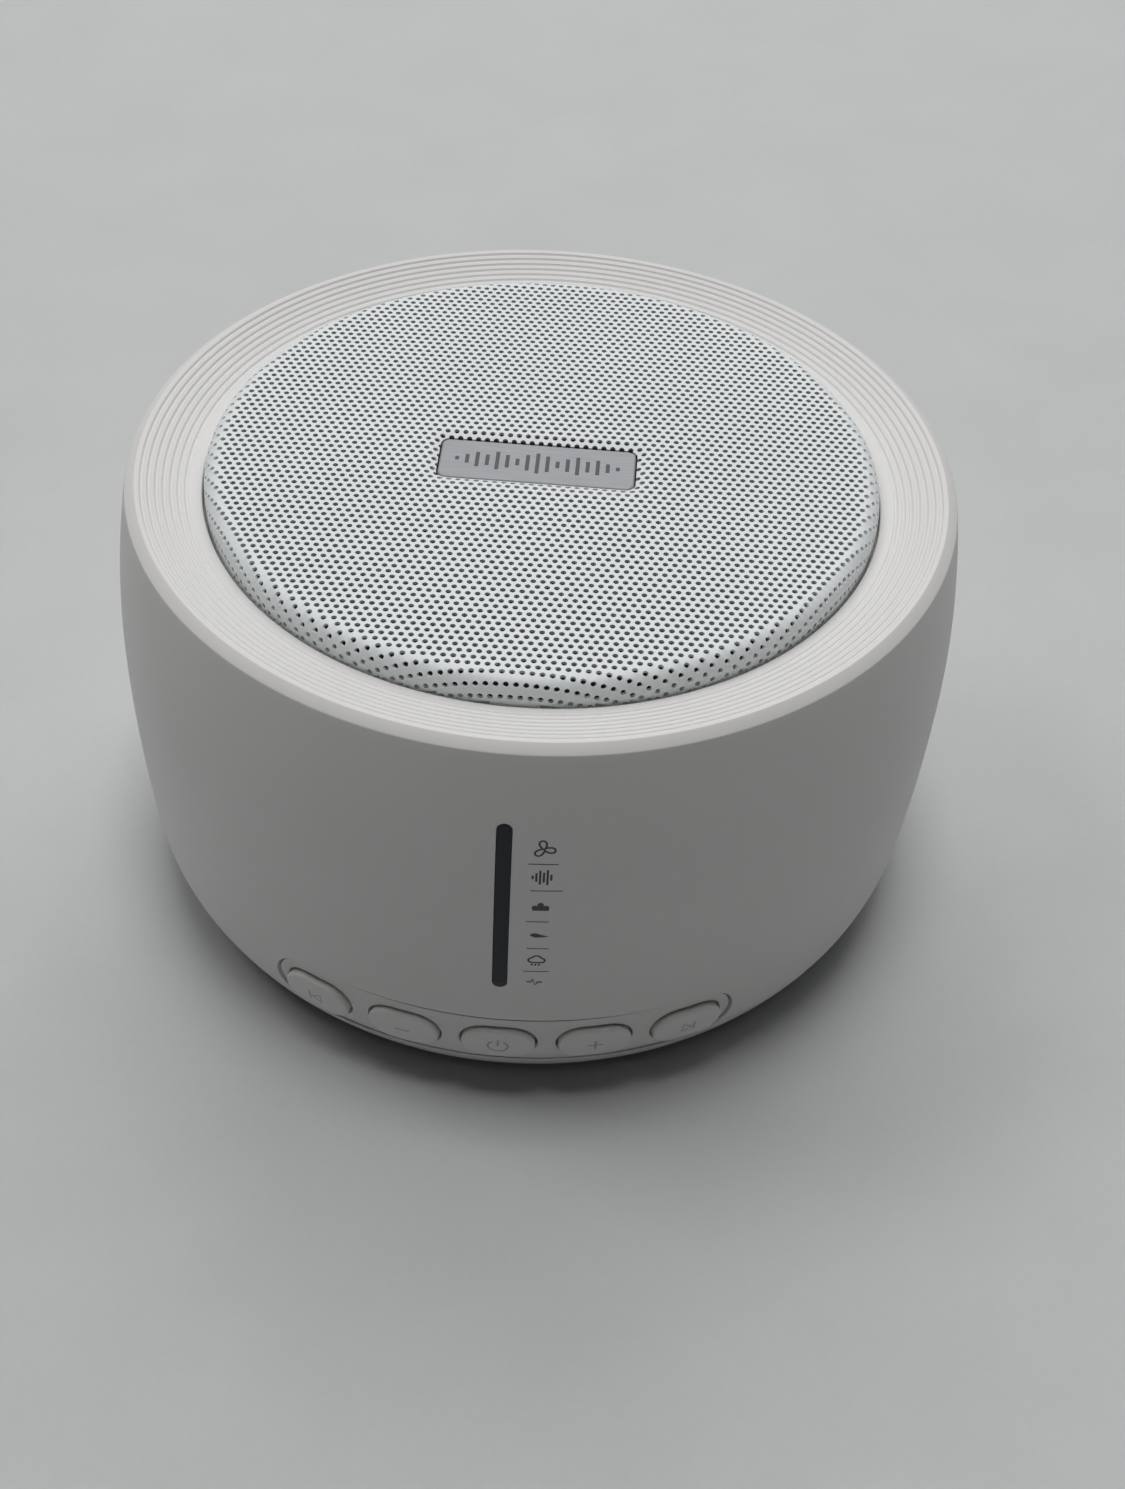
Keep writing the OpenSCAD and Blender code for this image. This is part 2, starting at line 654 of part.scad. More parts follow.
housing();
grille();
grille_tape();
dust_cloth();
nameplate();
led_window();
button_panel();
button(0);  // button_previous
button(1);  // button_volume_down
button(2);  // button_power
button(3);  // button_volume_up
button(4);  // button_next
plunger(0);  // plunger_previous
plunger(1);  // plunger_volume_down
plunger(2);  // plunger_power
plunger(3);  // plunger_volume_up
plunger(4);  // plunger_next
key_switches();
key_circuit();
key_bracket();
bracket_screws();
light_divider();
light_emitters();
led_board();
led_screws();
speaker_basket();
speaker_gasket();
speaker_screws();
surround();
speaker_cone();
dust_cap();
voice_coil();
spider();
speaker_top_plate();
speaker_magnet();
speaker_yoke();
speaker_terminals();
speaker_leads();
main_board();
board_screws();
sound_chip();
amplifier_chip();
capacitors();
speaker_socket();
ribbon_sockets();
led_ribbon();
key_ribbon();
power_inlet();
base_plate();
base_screws();
rubber_feet();
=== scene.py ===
"""White noise sound machine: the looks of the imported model, laid out as a Blender add-on."""

import json
import math
from contextlib import contextmanager

import bmesh
import bpy
import numpy as np
from bpy.props import FloatProperty, FloatVectorProperty, IntProperty, PointerProperty
from mathutils import Matrix, Vector


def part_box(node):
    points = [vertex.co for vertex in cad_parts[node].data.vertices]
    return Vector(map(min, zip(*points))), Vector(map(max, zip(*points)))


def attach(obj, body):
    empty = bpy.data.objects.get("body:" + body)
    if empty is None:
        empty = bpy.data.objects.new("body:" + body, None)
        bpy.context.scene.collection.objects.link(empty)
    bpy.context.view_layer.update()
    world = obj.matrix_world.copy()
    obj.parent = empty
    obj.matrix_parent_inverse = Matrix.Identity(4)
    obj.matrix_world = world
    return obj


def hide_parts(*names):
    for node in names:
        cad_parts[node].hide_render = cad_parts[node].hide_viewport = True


bl_info = {
    "name": "White noise sound machine",
    "version": (1, 0, 0),
    "blender": (4, 5, 0),
    "location": "3D View > Sidebar > Sound machine",
    "description": "Models and finishes a table-top white noise machine round its packed frame",
    "category": "Object",
}

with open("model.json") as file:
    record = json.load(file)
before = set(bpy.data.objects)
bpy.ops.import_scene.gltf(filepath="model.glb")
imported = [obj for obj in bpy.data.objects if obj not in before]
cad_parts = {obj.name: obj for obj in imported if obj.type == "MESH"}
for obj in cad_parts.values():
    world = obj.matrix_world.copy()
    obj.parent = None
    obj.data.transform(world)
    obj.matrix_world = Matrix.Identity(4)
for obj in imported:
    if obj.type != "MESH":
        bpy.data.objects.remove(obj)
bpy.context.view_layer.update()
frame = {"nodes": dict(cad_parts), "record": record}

MM = 0.001
HOUSING_LOW, HOUSING_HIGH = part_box("housing")
EDGE_Z = HOUSING_HIGH[2] / MM
BODY_R = HOUSING_HIGH[0] / MM
BASE_Z = HOUSING_LOW[2] / MM
GRILLE_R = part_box("grille")[1][0] / MM
CROWN_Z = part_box("grille")[1][2] / MM

# The body's outline, as in the part's source: two long arcs, a corner arc and a toe.
UPPER_ARC = 117.3
LOWER_ARC = 230.0
CORNER_R = 21.5
TOE_R = 2.0
WALL = 2.1
WIDEST_Z = EDGE_Z - 23
CORNER_TOP_Z = EDGE_Z - 47
LOWER_START = math.asin((WIDEST_Z - CORNER_TOP_Z) / LOWER_ARC)
CORNER_CR = BODY_R - LOWER_ARC * (1 - math.cos(LOWER_START)) - CORNER_R * math.cos(LOWER_START)
CORNER_CZ = CORNER_TOP_Z + CORNER_R * math.sin(LOWER_START)
CORNER_END = math.asin((CORNER_CZ - TOE_R - BASE_Z) / (CORNER_R - TOE_R))
TOE_CR = CORNER_CR + (CORNER_R - TOE_R) * math.cos(CORNER_END)
TOE_TOP_Z = CORNER_CZ - CORNER_R * math.sin(CORNER_END)

# The top ring and what lies under it.
CHAMFER_H = 0.86
RING_R = BODY_R - 3.37
OPENING_R = GRILLE_R + 0.3
DISH_SLOPE = 2.54 / (RING_R - GRILLE_R)
CHANNEL_Z = EDGE_Z - 4.8
DECK_TOP_Z = EDGE_Z - 3.4
DECK_Z = DECK_TOP_Z - 2.4
RING_ROOT_Z = DECK_Z - 1
LIP_Z = BASE_Z + 2
CHANNEL_R = 39.6
DECK_HOLE_R = 29.2
DECK_ROOT_R = 37.6
RING_ROOT_R = 38.6
GROOVES = 7
FIRST_GROOVE = 0.75
GROOVE_STEP = 0.87
POST_R = 3.5
POST_WALL = 2.15
POST_CIRCLE = 39

# The grille's dome, its rolled shoulder and the name plate's place in it. The rows over the shoulder are
# drawn apart by DRAWN, and SHEET_END is where the last row lies before that.
SHOULDER_R = 2.0
SHOULDER_CR = GRILLE_R - SHOULDER_R
SHOULDER_CZ = EDGE_Z + 0.6 - SHOULDER_R
CROWN_RISE = CROWN_Z - SHOULDER_CZ - SHOULDER_R
CROWN_ARC = SHOULDER_CR ** 2 / (2 * CROWN_RISE) + CROWN_RISE / 2
CROWN_LEN = CROWN_ARC * math.asin(SHOULDER_CR / CROWN_ARC)
DRAWN = 1.6
SHEET_REACH = 44.2
SHEET_END = CROWN_LEN + 0.5 + (43 - CROWN_LEN) / DRAWN
BORDER_START = 30
PRESS_MARGIN = 3.2
PRESS_DROP = 0.12
PRESS_CURVE = 1.7
PLATE_LOW, PLATE_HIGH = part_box("nameplate")
PLATE_W = (PLATE_HIGH[0] - PLATE_LOW[0]) / MM
PLATE_H = (PLATE_HIGH[1] - PLATE_LOW[1]) / MM
PLATE_X = (PLATE_HIGH[0] + PLATE_LOW[0]) / 2 / MM
PLATE_Y = (PLATE_HIGH[1] + PLATE_LOW[1]) / 2 / MM
PLATE_TOP_Z = PLATE_HIGH[2] / MM
PLATE_CORNER = 1.1
BAR_STEP = 1.22
BAR_W = 0.48

# The light strip, its pictograms, the button panel, the buttons and the inlet. Radii and depths are in
# millimetres, openings are (width, height, corner radius).
STRIP_Z = EDGE_Z - 23.4
STRIP_LEN = 27.0
STRIP_W = 1.8
PICTOGRAM_X = 4.2
PRINT_H = 0.025
KEY_Z = 10.3
KEY_W = 8.9
KEY_H = 6.0
KEY_STEP = 13.1
KEY_CORNER = KEY_H / 2 - 0.05
KEY_GAP = 0.3
FLANGE_BACK = 4.5
STEM_BACK = 5.15
KEY_NAMES = ("previous", "volume_down", "power", "volume_up", "next")
PANEL_Z = KEY_Z + 0.1
PANEL_R = 5.0
PANEL_HALF = 27.7
PANEL_GAP = 0.3
PANEL_FRONT = 0.04
PANEL_END = 33.3
PANEL_DROOP = 0.30
INLET_LOW, INLET_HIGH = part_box("power_inlet")
INLET_Z = (INLET_LOW[2] + INLET_HIGH[2]) / 2 / MM
INLET_MOUTH = INLET_HIGH[1] / MM
INLET_HOLE = (9.64, 3.96, 1.97)
INLET_RECESS = (12.34, 6.66, 3.32)
CUT_IN = 45
CUT_OUT = 56


def body_at(z):
    """Radius of the body's outside at height z, in millimetres."""
    if z >= WIDEST_Z:
        return BODY_R - UPPER_ARC + math.sqrt(UPPER_ARC ** 2 - (z - WIDEST_Z) ** 2)
    if z >= CORNER_TOP_Z:
        return BODY_R - LOWER_ARC + math.sqrt(LOWER_ARC ** 2 - (WIDEST_Z - z) ** 2)
    if z >= TOE_TOP_Z:
        return CORNER_CR + math.sqrt(CORNER_R ** 2 - (CORNER_CZ - z) ** 2)
    return TOE_CR + math.sqrt(max(0.0, TOE_R ** 2 - (BASE_Z + TOE_R - z) ** 2))


WRAP_R = body_at(KEY_Z)
LIE_DOWN = Matrix.Rotation(math.radians(-90), 4, "X")


def dish_z(r):
    """Height of the dished ring at radius r."""
    return EDGE_Z - (RING_R - r) * DISH_SLOPE


# ---------------------------------------------------------------- settings


def length(name, description, default, low, high):
    """A setting for a length in metres."""
    return FloatProperty(
        name=name, description=description, default=default, min=low, max=high, precision=5, unit="LENGTH")


def tint(name, description, default):
    """A setting for a colour."""
    return FloatVectorProperty(
        name=name, description=description, default=default, min=0.0, max=1.0, subtype="COLOR")


def angle(name, description, degrees):
    """A setting for an angle."""
    return FloatProperty(
        name=name, description=description, default=math.radians(degrees), subtype="ANGLE", unit="ROTATION")


def power(name, description, watts):
    """A setting for a lamp's power."""
    return FloatProperty(
        name=name, description=description + " in watts", default=watts, min=0.0, max=200.0, unit="POWER")


def strength(name, description, default):
    """A setting for a part of one."""
    return FloatProperty(name=name, description=description, default=default, min=0.0, max=1.0)


class MachineSizes(bpy.types.PropertyGroup):
    """Sizes of the details that only the looks have."""

    hole_pitch: length("Hole pitch", "Distance between the grille's holes along a row", 0.0011, 0.0008, 0.002)
    hole_size: length("Hole size", "Diameter of a hole in the grille", 0.00069, 0.0003, 0.0009)
    sheet: length("Sheet", "Thickness of the grille's perforated sheet", 0.00038, 0.0003, 0.0006)
    press_width: length("Press width", "Width of the slope round the name plate", 0.0018, 0.0006, 0.003)
    groove_depth: length(
        "Groove depth", "Depth of the fine grooves in the top ring", 0.00016, 0.00005, 0.0003)
    groove_half: length("Groove half width", "Half the width of a fine groove", 0.00024, 0.00005, 0.0003)
    key_proud: length("Button height", "How far a button stands out of the body", 0.0006, 0.0, 0.001)
    print_width: length(
        "Print width", "Width of the printed lines beside the light strip", 0.00024, 0.0001, 0.0004)
    turn_steps: IntProperty(
        name="Turn steps", description="Number of steps in a turned piece",
        default=240, min=96, max=360)


class MachineColours(bpy.types.PropertyGroup):
    """Colours that a user would change."""

    body: tint("Body", "Colour of the moulded body, panel and base", (0.80, 0.788, 0.777))
    mesh: tint("Grille", "Colour of the painted grille", (0.86, 0.895, 0.90))
    window: tint("Light strip", "Colour of the dark light strip", (0.017, 0.021, 0.031))
    ink: tint("Print", "Colour of the printed pictograms", (0.055, 0.055, 0.06))
    floor: tint("Floor", "Colour of the table top", (0.594, 0.608, 0.603))


class StageSettings(bpy.types.PropertyGroup):
    """Camera and light."""

    camera_place: FloatVectorProperty(
        name="Camera place", description="Where the camera stands",
        default=(0.01005, -0.20766, 0.21133), precision=5, subtype="TRANSLATION", unit="LENGTH")
    camera_pitch: angle("Camera pitch", "How far the camera looks down", 43.89)
    camera_heading: angle("Camera heading", "Turn of the camera about the upright axis", 1.6)
    camera_roll: angle("Camera roll", "Turn of the camera about its line of sight", 3.29)
    camera_lens: FloatProperty(
        name="Camera lens", description="Focal length in millimetres on a 36 mm sensor",
        default=50.77, min=10.0, max=200.0, subtype="DISTANCE_CAMERA")
    top_power: power("Top lamp", "Power of the lamp high overhead", 17.1)
    ceiling_power: power("Ceiling lamp", "Power of the broad soft lamp above and behind", 9.4)
    back_power: power("Back lamp", "Power of the broad soft lamp behind the machine", 4.8)
    left_power: power("Left lamp", "Power of the lamp high on the left", 6.4)
    right_power: power("Right lamp", "Power of the lamp high on the right", 0.9)
    sky: strength("Sky", "Strength of the even light from all round", 0.01)
    backdrop: strength("Backdrop", "How bright the world looks to the camera and in reflections", 0.3)


# ---------------------------------------------------------------- modelling tools


def deselect():
    """Leaves edit mode and deselects everything."""
    if bpy.context.object and bpy.context.object.mode != "OBJECT":
        bpy.ops.object.mode_set(mode="OBJECT")
    bpy.ops.object.select_all(action="DESELECT")


def only(obj):
    """Selects one object alone and makes it active."""
    deselect()
    obj.select_set(True)
    bpy.context.view_layer.objects.active = obj


@contextmanager
def editing(obj):
    """Edit mode on one object, with all of it selected."""
    only(obj)
    bpy.ops.object.mode_set(mode="EDIT")
    bpy.ops.mesh.select_all(action="SELECT")
    yield
    bpy.ops.object.mode_set(mode="OBJECT")


def pick(obj, kind, test):
    """Selects, in edit mode, what passes a test. kind is VERT, EDGE or FACE."""
    bpy.ops.mesh.select_mode(type=kind)
    bpy.ops.mesh.select_all(action="DESELECT")
    bm = bmesh.from_edit_mesh(obj.data)
    for item in {"VERT": bm.verts, "EDGE": bm.edges, "FACE": bm.faces}[kind]:
        if test(item):
            item.select_set(True)
    bmesh.update_edit_mesh(obj.data)


def settle(obj):
    """Puts the object's place, turn and scale into its mesh."""
    only(obj)
    bpy.ops.object.transform_apply(location=True, rotation=True, scale=True)


def points_of(obj):
    """The mesh's points in millimetres, one row each."""
    co = np.empty(len(obj.data.vertices) * 3)
    obj.data.vertices.foreach_get("co", co)
    return co.reshape(-1, 3) / MM


def put_points(obj, co):
    """Moves the mesh's points to these places in millimetres."""
    obj.data.vertices.foreach_set("co", (np.asarray(co) * MM).reshape(-1))
    obj.data.update()


def with_modifier(obj, kind, **settings):
    """Adds a modifier and applies it at once."""
    only(obj)
    modifier = obj.modifiers.new(kind.title(), kind)
    for key, value in settings.items():
        setattr(modifier, key, value)
    bpy.ops.object.modifier_apply(modifier=modifier.name)


def joined(name, pieces):
    """Joins pieces into the first, under a name."""
    deselect()
    for piece in pieces:
        piece.select_set(True)
    bpy.context.view_layer.objects.active = pieces[0]
    if len(pieces) > 1:
        bpy.ops.object.join()
    pieces[0].name = name
    return pieces[0]


def combine(obj, other, operation):
    """Exact boolean of obj with another object, which is then deleted."""
    with_modifier(obj, "BOOLEAN", operation=operation, solver="EXACT", object=other)
    only(other)
    bpy.ops.object.delete()


def smooth(obj, limit, weighted=False):
    """Smooth shading with sharp edges above a limit in degrees."""
    only(obj)
    bpy.ops.object.shade_smooth_by_angle(angle=math.radians(limit))
    if weighted:
        with_modifier(obj, "WEIGHTED_NORMAL", keep_sharp=True, weight=80)


def copy_of(obj, name, matrix):
    """A copy with its own mesh, moved by a matrix."""
    only(obj)
    bpy.ops.object.duplicate(linked=False)
    new = bpy.context.object
    new.name = name
    new.data.transform(matrix)
    return new


def chain(name, points, closed=False):
    """A line of edges drawn point by point, in millimetres."""
    places = [Vector(p) * MM for p in points]
    deselect()
    bpy.ops.mesh.primitive_plane_add(size=0.0001, location=places[0])
    obj = bpy.context.object
    obj.name = name
    bpy.ops.object.mode_set(mode="EDIT")
    bpy.ops.mesh.select_mode(type="VERT")
    bpy.ops.mesh.select_all(action="SELECT")
    bpy.ops.mesh.merge(type="CENTER")
    for here, there in zip(places, places[1:]):
        bpy.ops.mesh.extrude_vertices_move(TRANSFORM_OT_translate={"value": there - here})
    if closed:
        ends = [p - places[0] for p in (places[0], places[-1])]
        pick(obj, "VERT", lambda v: min((v.co - end).length for end in ends) < 1e-7)
        bpy.ops.mesh.edge_face_add()
    bpy.ops.object.mode_set(mode="OBJECT")
    settle(obj)
    return obj


def turned(name, profile, steps):
    """A closed outline of (radius, height), spun round the upright axis."""
    obj = chain(name, [(r, 0, z) for r, z in profile], closed=True)
    with editing(obj):
        bpy.ops.mesh.spin(steps=steps, angle=math.tau, center=(0, 0, 0), axis=(0, 0, 1))
        bpy.ops.mesh.select_all(action="SELECT")
        bpy.ops.mesh.remove_doubles(threshold=1e-6)
        bpy.ops.mesh.normals_make_consistent(inside=False)
    return obj


def slab(name, width, height, corner, front, back, edge=0.0, at=(0.0, 0.0), steps=8, edge_steps=3):
    """A slab that stands in XZ and faces -Y.

    It is a plane with rounded corners, extruded back, with its front edge bevelled.
    """
    deselect()
    bpy.ops.mesh.primitive_plane_add(
        size=1, location=(at[0] * MM, front * MM, at[1] * MM), rotation=(math.radians(90), 0, 0))
    obj = bpy.context.object
    obj.name = name
    obj.scale = (width * MM, height * MM, 1)
    settle(obj)
    with editing(obj):
        if corner:
            bpy.ops.mesh.bevel(offset=corner * MM, segments=steps, affect="VERTICES")
        bpy.ops.mesh.select_all(action="SELECT")
        bpy.ops.mesh.remove_doubles(threshold=1e-6)
        bpy.ops.mesh.extrude_region_move(TRANSFORM_OT_translate={"value": (0, (back - front) * MM, 0)})
        bpy.ops.mesh.select_all(action="SELECT")
        bpy.ops.mesh.normals_make_consistent(inside=False)
        if edge:
            y = front * MM
            pick(obj, "EDGE", lambda e: all(abs(v.co.y - y) < 1e-7 for v in e.verts))
            bpy.ops.mesh.bevel(offset=edge * MM, segments=edge_steps, affect="EDGES", profile=0.5)
    return obj


def wrap(obj, step=1.0, depth=None):
    """Cuts a flat piece into strips and lays it on the body.

    x runs along the girth and y is the depth below the surface.
    """
    co = points_of(obj)
    with editing(obj):
        for axis in (0, 2):
            normal = [0, 0, 0]
            normal[axis] = 1
            low = math.floor(co[:, axis].min() / step) + 1
            high = math.ceil(co[:, axis].max() / step)
            for i in range(low, high):
                place = [0, 0, 0]
                place[axis] = i * step * MM
                bpy.ops.mesh.select_all(action="SELECT")
                bpy.ops.mesh.bisect(plane_co=place, plane_no=normal)
    co = points_of(obj)
    turn = co[:, 0] / WRAP_R
    inward = co[:, 1] + (depth(turn) if depth else 0)
    radius = np.array([body_at(z) for z in co[:, 2]]) - inward
    put_points(obj, np.column_stack([radius * np.sin(turn), -radius * np.cos(turn), co[:, 2]]))
    return obj


def lines(name, paths, width, proud, level=0.0):
    """Lines of print or relief in (x, z) millimetres: drawn, given a round section, and pressed flat."""
    pieces = []
    for path, closed in paths:
        obj = chain(name, [(x, level, z) for x, z in path], closed)
        only(obj)
        bpy.ops.object.convert(target="CURVE")
        obj = bpy.context.object
        obj.data.dimensions = "3D"
        obj.data.bevel_depth = width / 2 * MM
        obj.data.bevel_resolution = 2
        obj.data.use_fill_caps = True
        bpy.ops.object.convert(target="MESH")
        obj = bpy.context.object
        with editing(obj):
            bpy.ops.mesh.remove_doubles(threshold=1e-7)
            bpy.ops.mesh.normals_make_consistent(inside=False)
        pieces.append(obj)
    obj = joined(name, pieces)
    co = points_of(obj)
    co[:, 1] = level + (co[:, 1] - level) * proud / (width / 2)
    put_points(obj, co)
    return obj


def upright(x, z, height):
    """The path of an upright line about (x, z), for lines()."""
    return [(x, z - height / 2), (x, z), (x, z + height / 2)], False


def filleted(points):
    """An outline whose points (r, z, radius) with a radius are rounded."""
    steps = 3
    out = []
    for i, (r, z, radius) in enumerate(points):
        here = Vector((r, z))
        if not radius:
            out.append((r, z))
            continue
        before = Vector(points[i - 1][:2]) - here
        after = Vector(points[(i + 1) % len(points)][:2]) - here
        turn = before.angle(after)
        reach = min(radius / math.tan(turn / 2), before.length * 0.45, after.length * 0.45)
        start = here + before.normalized() * reach
        end = here + after.normalized() * reach
        for k in range(steps + 1):
            t = k / steps
            p = start * (1 - t) ** 2 + here * 2 * t * (1 - t) + end * t ** 2
            out.append((p.x, p.y))
    return out


def dressed(obj, material, body, slot, *nodes):
    """Gives a finished piece its material and its body, and hides the nodes that it stands for. slot is not
    used.
    """
    obj.data.materials.clear()
    obj.data.materials.append(material)
    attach(obj, body)
    if nodes:
        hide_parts(*nodes)


# ---------------------------------------------------------------- materials


FINISH_INPUTS = (
    ("Light", "NodeSocketColor", (0.8, 0.8, 0.8, 1)),
    ("Dark", "NodeSocketColor", (0.7, 0.7, 0.7, 1)),
    ("Scale", "NodeSocketFloat", 1000.0),
    ("Smooth", "NodeSocketFloat", 0.4),
    ("Rough", "NodeSocketFloat", 0.5),
)
FINISH_OUTPUTS = (
    ("Color", "NodeSocketColor"), ("Roughness", "NodeSocketFloat"), ("Height", "NodeSocketFloat"))
BUMP_DISTANCE = 0.00003


def finish_group(name):
    """A group with the finishes' sockets: its tree, inputs, outputs and the object's coordinates."""
    tree = bpy.data.node_groups.new(name, "ShaderNodeTree")
    for label, kind, value in FINISH_INPUTS:
        socket = tree.interface.new_socket(name=label, in_out="INPUT", socket_type=kind)
        socket.default_value = value
    for label, kind in FINISH_OUTPUTS:
        tree.interface.new_socket(name=label, in_out="OUTPUT", socket_type=kind)
    given, result = tree.nodes.new("NodeGroupInput"), tree.nodes.new("NodeGroupOutput")
    return tree, given.outputs, result.inputs, tree.nodes.new("ShaderNodeTexCoord").outputs["Object"]


def feed(tree, value, socket):
    """Links a socket to an input, or sets the input to a number."""
    if isinstance(value, bpy.types.NodeSocket):
        tree.links.new(value, socket)
    else:
        socket.default_value = value


def texture(tree, kind, place, scale, **settings):
    """A texture node. A setting that the node lacks is the value of the input with that name."""
    new = tree.nodes.new(kind)
    for key, value in settings.items():
        if hasattr(new, key):
            setattr(new, key, value)
        else:
            new.inputs[key.replace("_", " ")].default_value = value
    tree.links.new(place, new.inputs["Vector"])
    feed(tree, scale, new.inputs["Scale"])
    return new.outputs


def mixed(tree, factor, first, second):
    """A colour mix node between two colour sockets."""
    mix = tree.nodes.new("ShaderNodeMix")
    mix.data_type = "RGBA"
    for label, socket in (("Factor", factor), ("A", first), ("B", second)):
        tree.links.new(socket, mix.inputs[label])
    return mix.outputs["Result"]


def ranged(tree, value, low, high, to_low=0.0, to_high=1.0):
    """A map range node. Each limit is a number or a socket."""
    new = tree.nodes.new("ShaderNodeMapRange")
    for label, source in (
            ("Value", value), ("From Min", low), ("From Max", high), ("To Min", to_low), ("To Max", to_high)):
        feed(tree, source, new.inputs[label])
    return new.outputs["Result"]


def maths(tree, operation, *values):
    """A math node of numbers or sockets."""
    new = tree.nodes.new("ShaderNodeMath")
    new.operation = operation
    for value, socket in zip(values, new.inputs):
        feed(tree, value, socket)
    return new.outputs[0]


def blended(tree, first, share, second, rest):
    """The sum of two masks by their shares."""
    return maths(tree, "MULTIPLY_ADD", first, share, maths(tree, "MULTIPLY", second, rest))


def put_out(tree, given, result, tone, height, colours=("Light", "Dark"), rough=None):
    """Ends a group: its colour, and its roughness unless one is given, follow tone."""
    tree.links.new(mixed(tree, tone, *(given[name] for name in colours)), result["Color"])
    rough = rough or ranged(tree, tone, 0.0, 1.0, given["Smooth"], given["Rough"])
    tree.links.new(rough, result["Roughness"])
    tree.links.new(height, result["Height"])
    return tree


def moulded_group():
    """Moulded or painted skin: a fine spark-eroded grain over slow patches of tone."""
    tree, given, result, place = finish_group("MouldedSkin")
    fine = texture(tree, "ShaderNodeTexNoise", place, given["Scale"], Detail=3.0, Roughness=0.6)["Fac"]
    slow = texture(tree, "ShaderNodeTexNoise", place, 45.0, Detail=4.0, Roughness=0.55)["Fac"]
    tone = blended(tree, ranged(tree, fine, 0.35, 0.65), 0.35, ranged(tree, slow, 0.3, 0.7), 0.65)
    return put_out(tree, given, result, tone, fine)


def brushed_group():
    """Brushed or turned metal: fine streaks along X over slow patches."""
    tree, given, result, place = finish_group("BrushedMetal")
    stretch = tree.nodes.new("ShaderNodeMapping")
    stretch.inputs["Scale"].default_value = (0.03, 1.0, 1.0)
    tree.links.new(place, stretch.inputs["Vector"])
    streak = texture(tree, "ShaderNodeTexNoise", stretch.outputs["Vector"], given["Scale"], Detail=2.0)["Fac"]
    slow = texture(tree, "ShaderNodeTexNoise", place, 160.0, Detail=2.0)["Fac"]
    tone = blended(tree, ranged(tree, streak, 0.3, 0.7), 0.7, slow, 0.3)
    return put_out(tree, given, result, tone, streak)


def woven_group():
    """Plain weave: two sets of threads that cross."""
    tree, given, result, place = finish_group("PlainWeave")
    across, along = (
        texture(
            tree, "ShaderNodeTexWave", place, given["Scale"],
            bands_direction=way, Distortion=0.6, Detail=1.0)["Fac"]
        for way in "XY")
    thread = maths(tree, "MAXIMUM", across, along)
    rough = ranged(tree, thread, 0.0, 1.0, given["Rough"], given["Smooth"])
    return put_out(tree, given, result, thread, thread, ("Dark", "Light"), rough)


def speckled_group():
    """Cast, sintered, foamed or pulped stuff: cells of two tones with pits."""
    tree, given, result, place = finish_group("SpeckledStuff")
    cell = texture(tree, "ShaderNodeTexVoronoi", place, given["Scale"])["Distance"]
    cloud = texture(tree, "ShaderNodeTexNoise", place, 220.0, Detail=5.0)["Fac"]
    pit = ranged(tree, cell, 0.0, 0.8)
    return put_out(tree, given, result, blended(tree, pit, 0.5, cloud, 0.5), pit)


def traced_group():
    """Circuit board lacquer: paler copper tracks under the lacquer."""
    tree, given, result, place = finish_group("CircuitTracks")
    track = texture(
        tree, "ShaderNodeTexBrick", place, given["Scale"], Mortar_Size=0.05, Mortar_Smooth=0.2)["Fac"]
    grain = texture(tree, "ShaderNodeTexNoise", place, 2500.0, Detail=2.0)["Fac"]
    rough = ranged(tree, grain, 0.3, 0.7, given["Smooth"], given["Rough"])
    return put_out(tree, given, result, track, track, ("Dark", "Light"), rough)


GROUP_MAKERS = {
    "MouldedSkin": moulded_group,
    "BrushedMetal": brushed_group,
    "PlainWeave": woven_group,
    "SpeckledStuff": speckled_group,
    "CircuitTracks": traced_group,
}


def finish(name, kind, light, dark, scale, smooth_to_rough, bump, **sockets):
    """A material whose colour, roughness and bump come from a shared group.

    sockets are the shader's own constants. name isn't one of the record's slots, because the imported
    model's plain materials have those names.
    """
    if name in bpy.data.materials:
        return bpy.data.materials[name]
    tree_group = bpy.data.node_groups.get(kind) or GROUP_MAKERS[kind]()
    material = bpy.data.materials.new(name)
    material.use_nodes = True
    tree = material.node_tree
    shader = tree.nodes["Principled BSDF"]
    effect = tree.nodes.new("ShaderNodeGroup")
    effect.node_tree = tree_group
    values = ((*light, 1), (*dark, 1), scale, *smooth_to_rough)
    for (label, *_), value in zip(FINISH_INPUTS, values):
        effect.inputs[label].default_value = value
    tree.links.new(effect.outputs["Color"], shader.inputs["Base Color"])
    tree.links.new(effect.outputs["Roughness"], shader.inputs["Roughness"])
    relief = tree.nodes.new("ShaderNodeBump")
    relief.inputs["Strength"].default_value = bump
    relief.inputs["Distance"].default_value = BUMP_DISTANCE
    tree.links.new(effect.outputs["Height"], relief.inputs["Height"])
    tree.links.new(relief.outputs["Normal"], shader.inputs["Normal"])
    for label, value in sockets.items():
        shader.inputs[label.replace("_", " ")].default_value = value
    return material


def shade(colour, factor):
    """A colour made darker or lighter."""
    return tuple(min(1.0, c * factor) for c in colour)


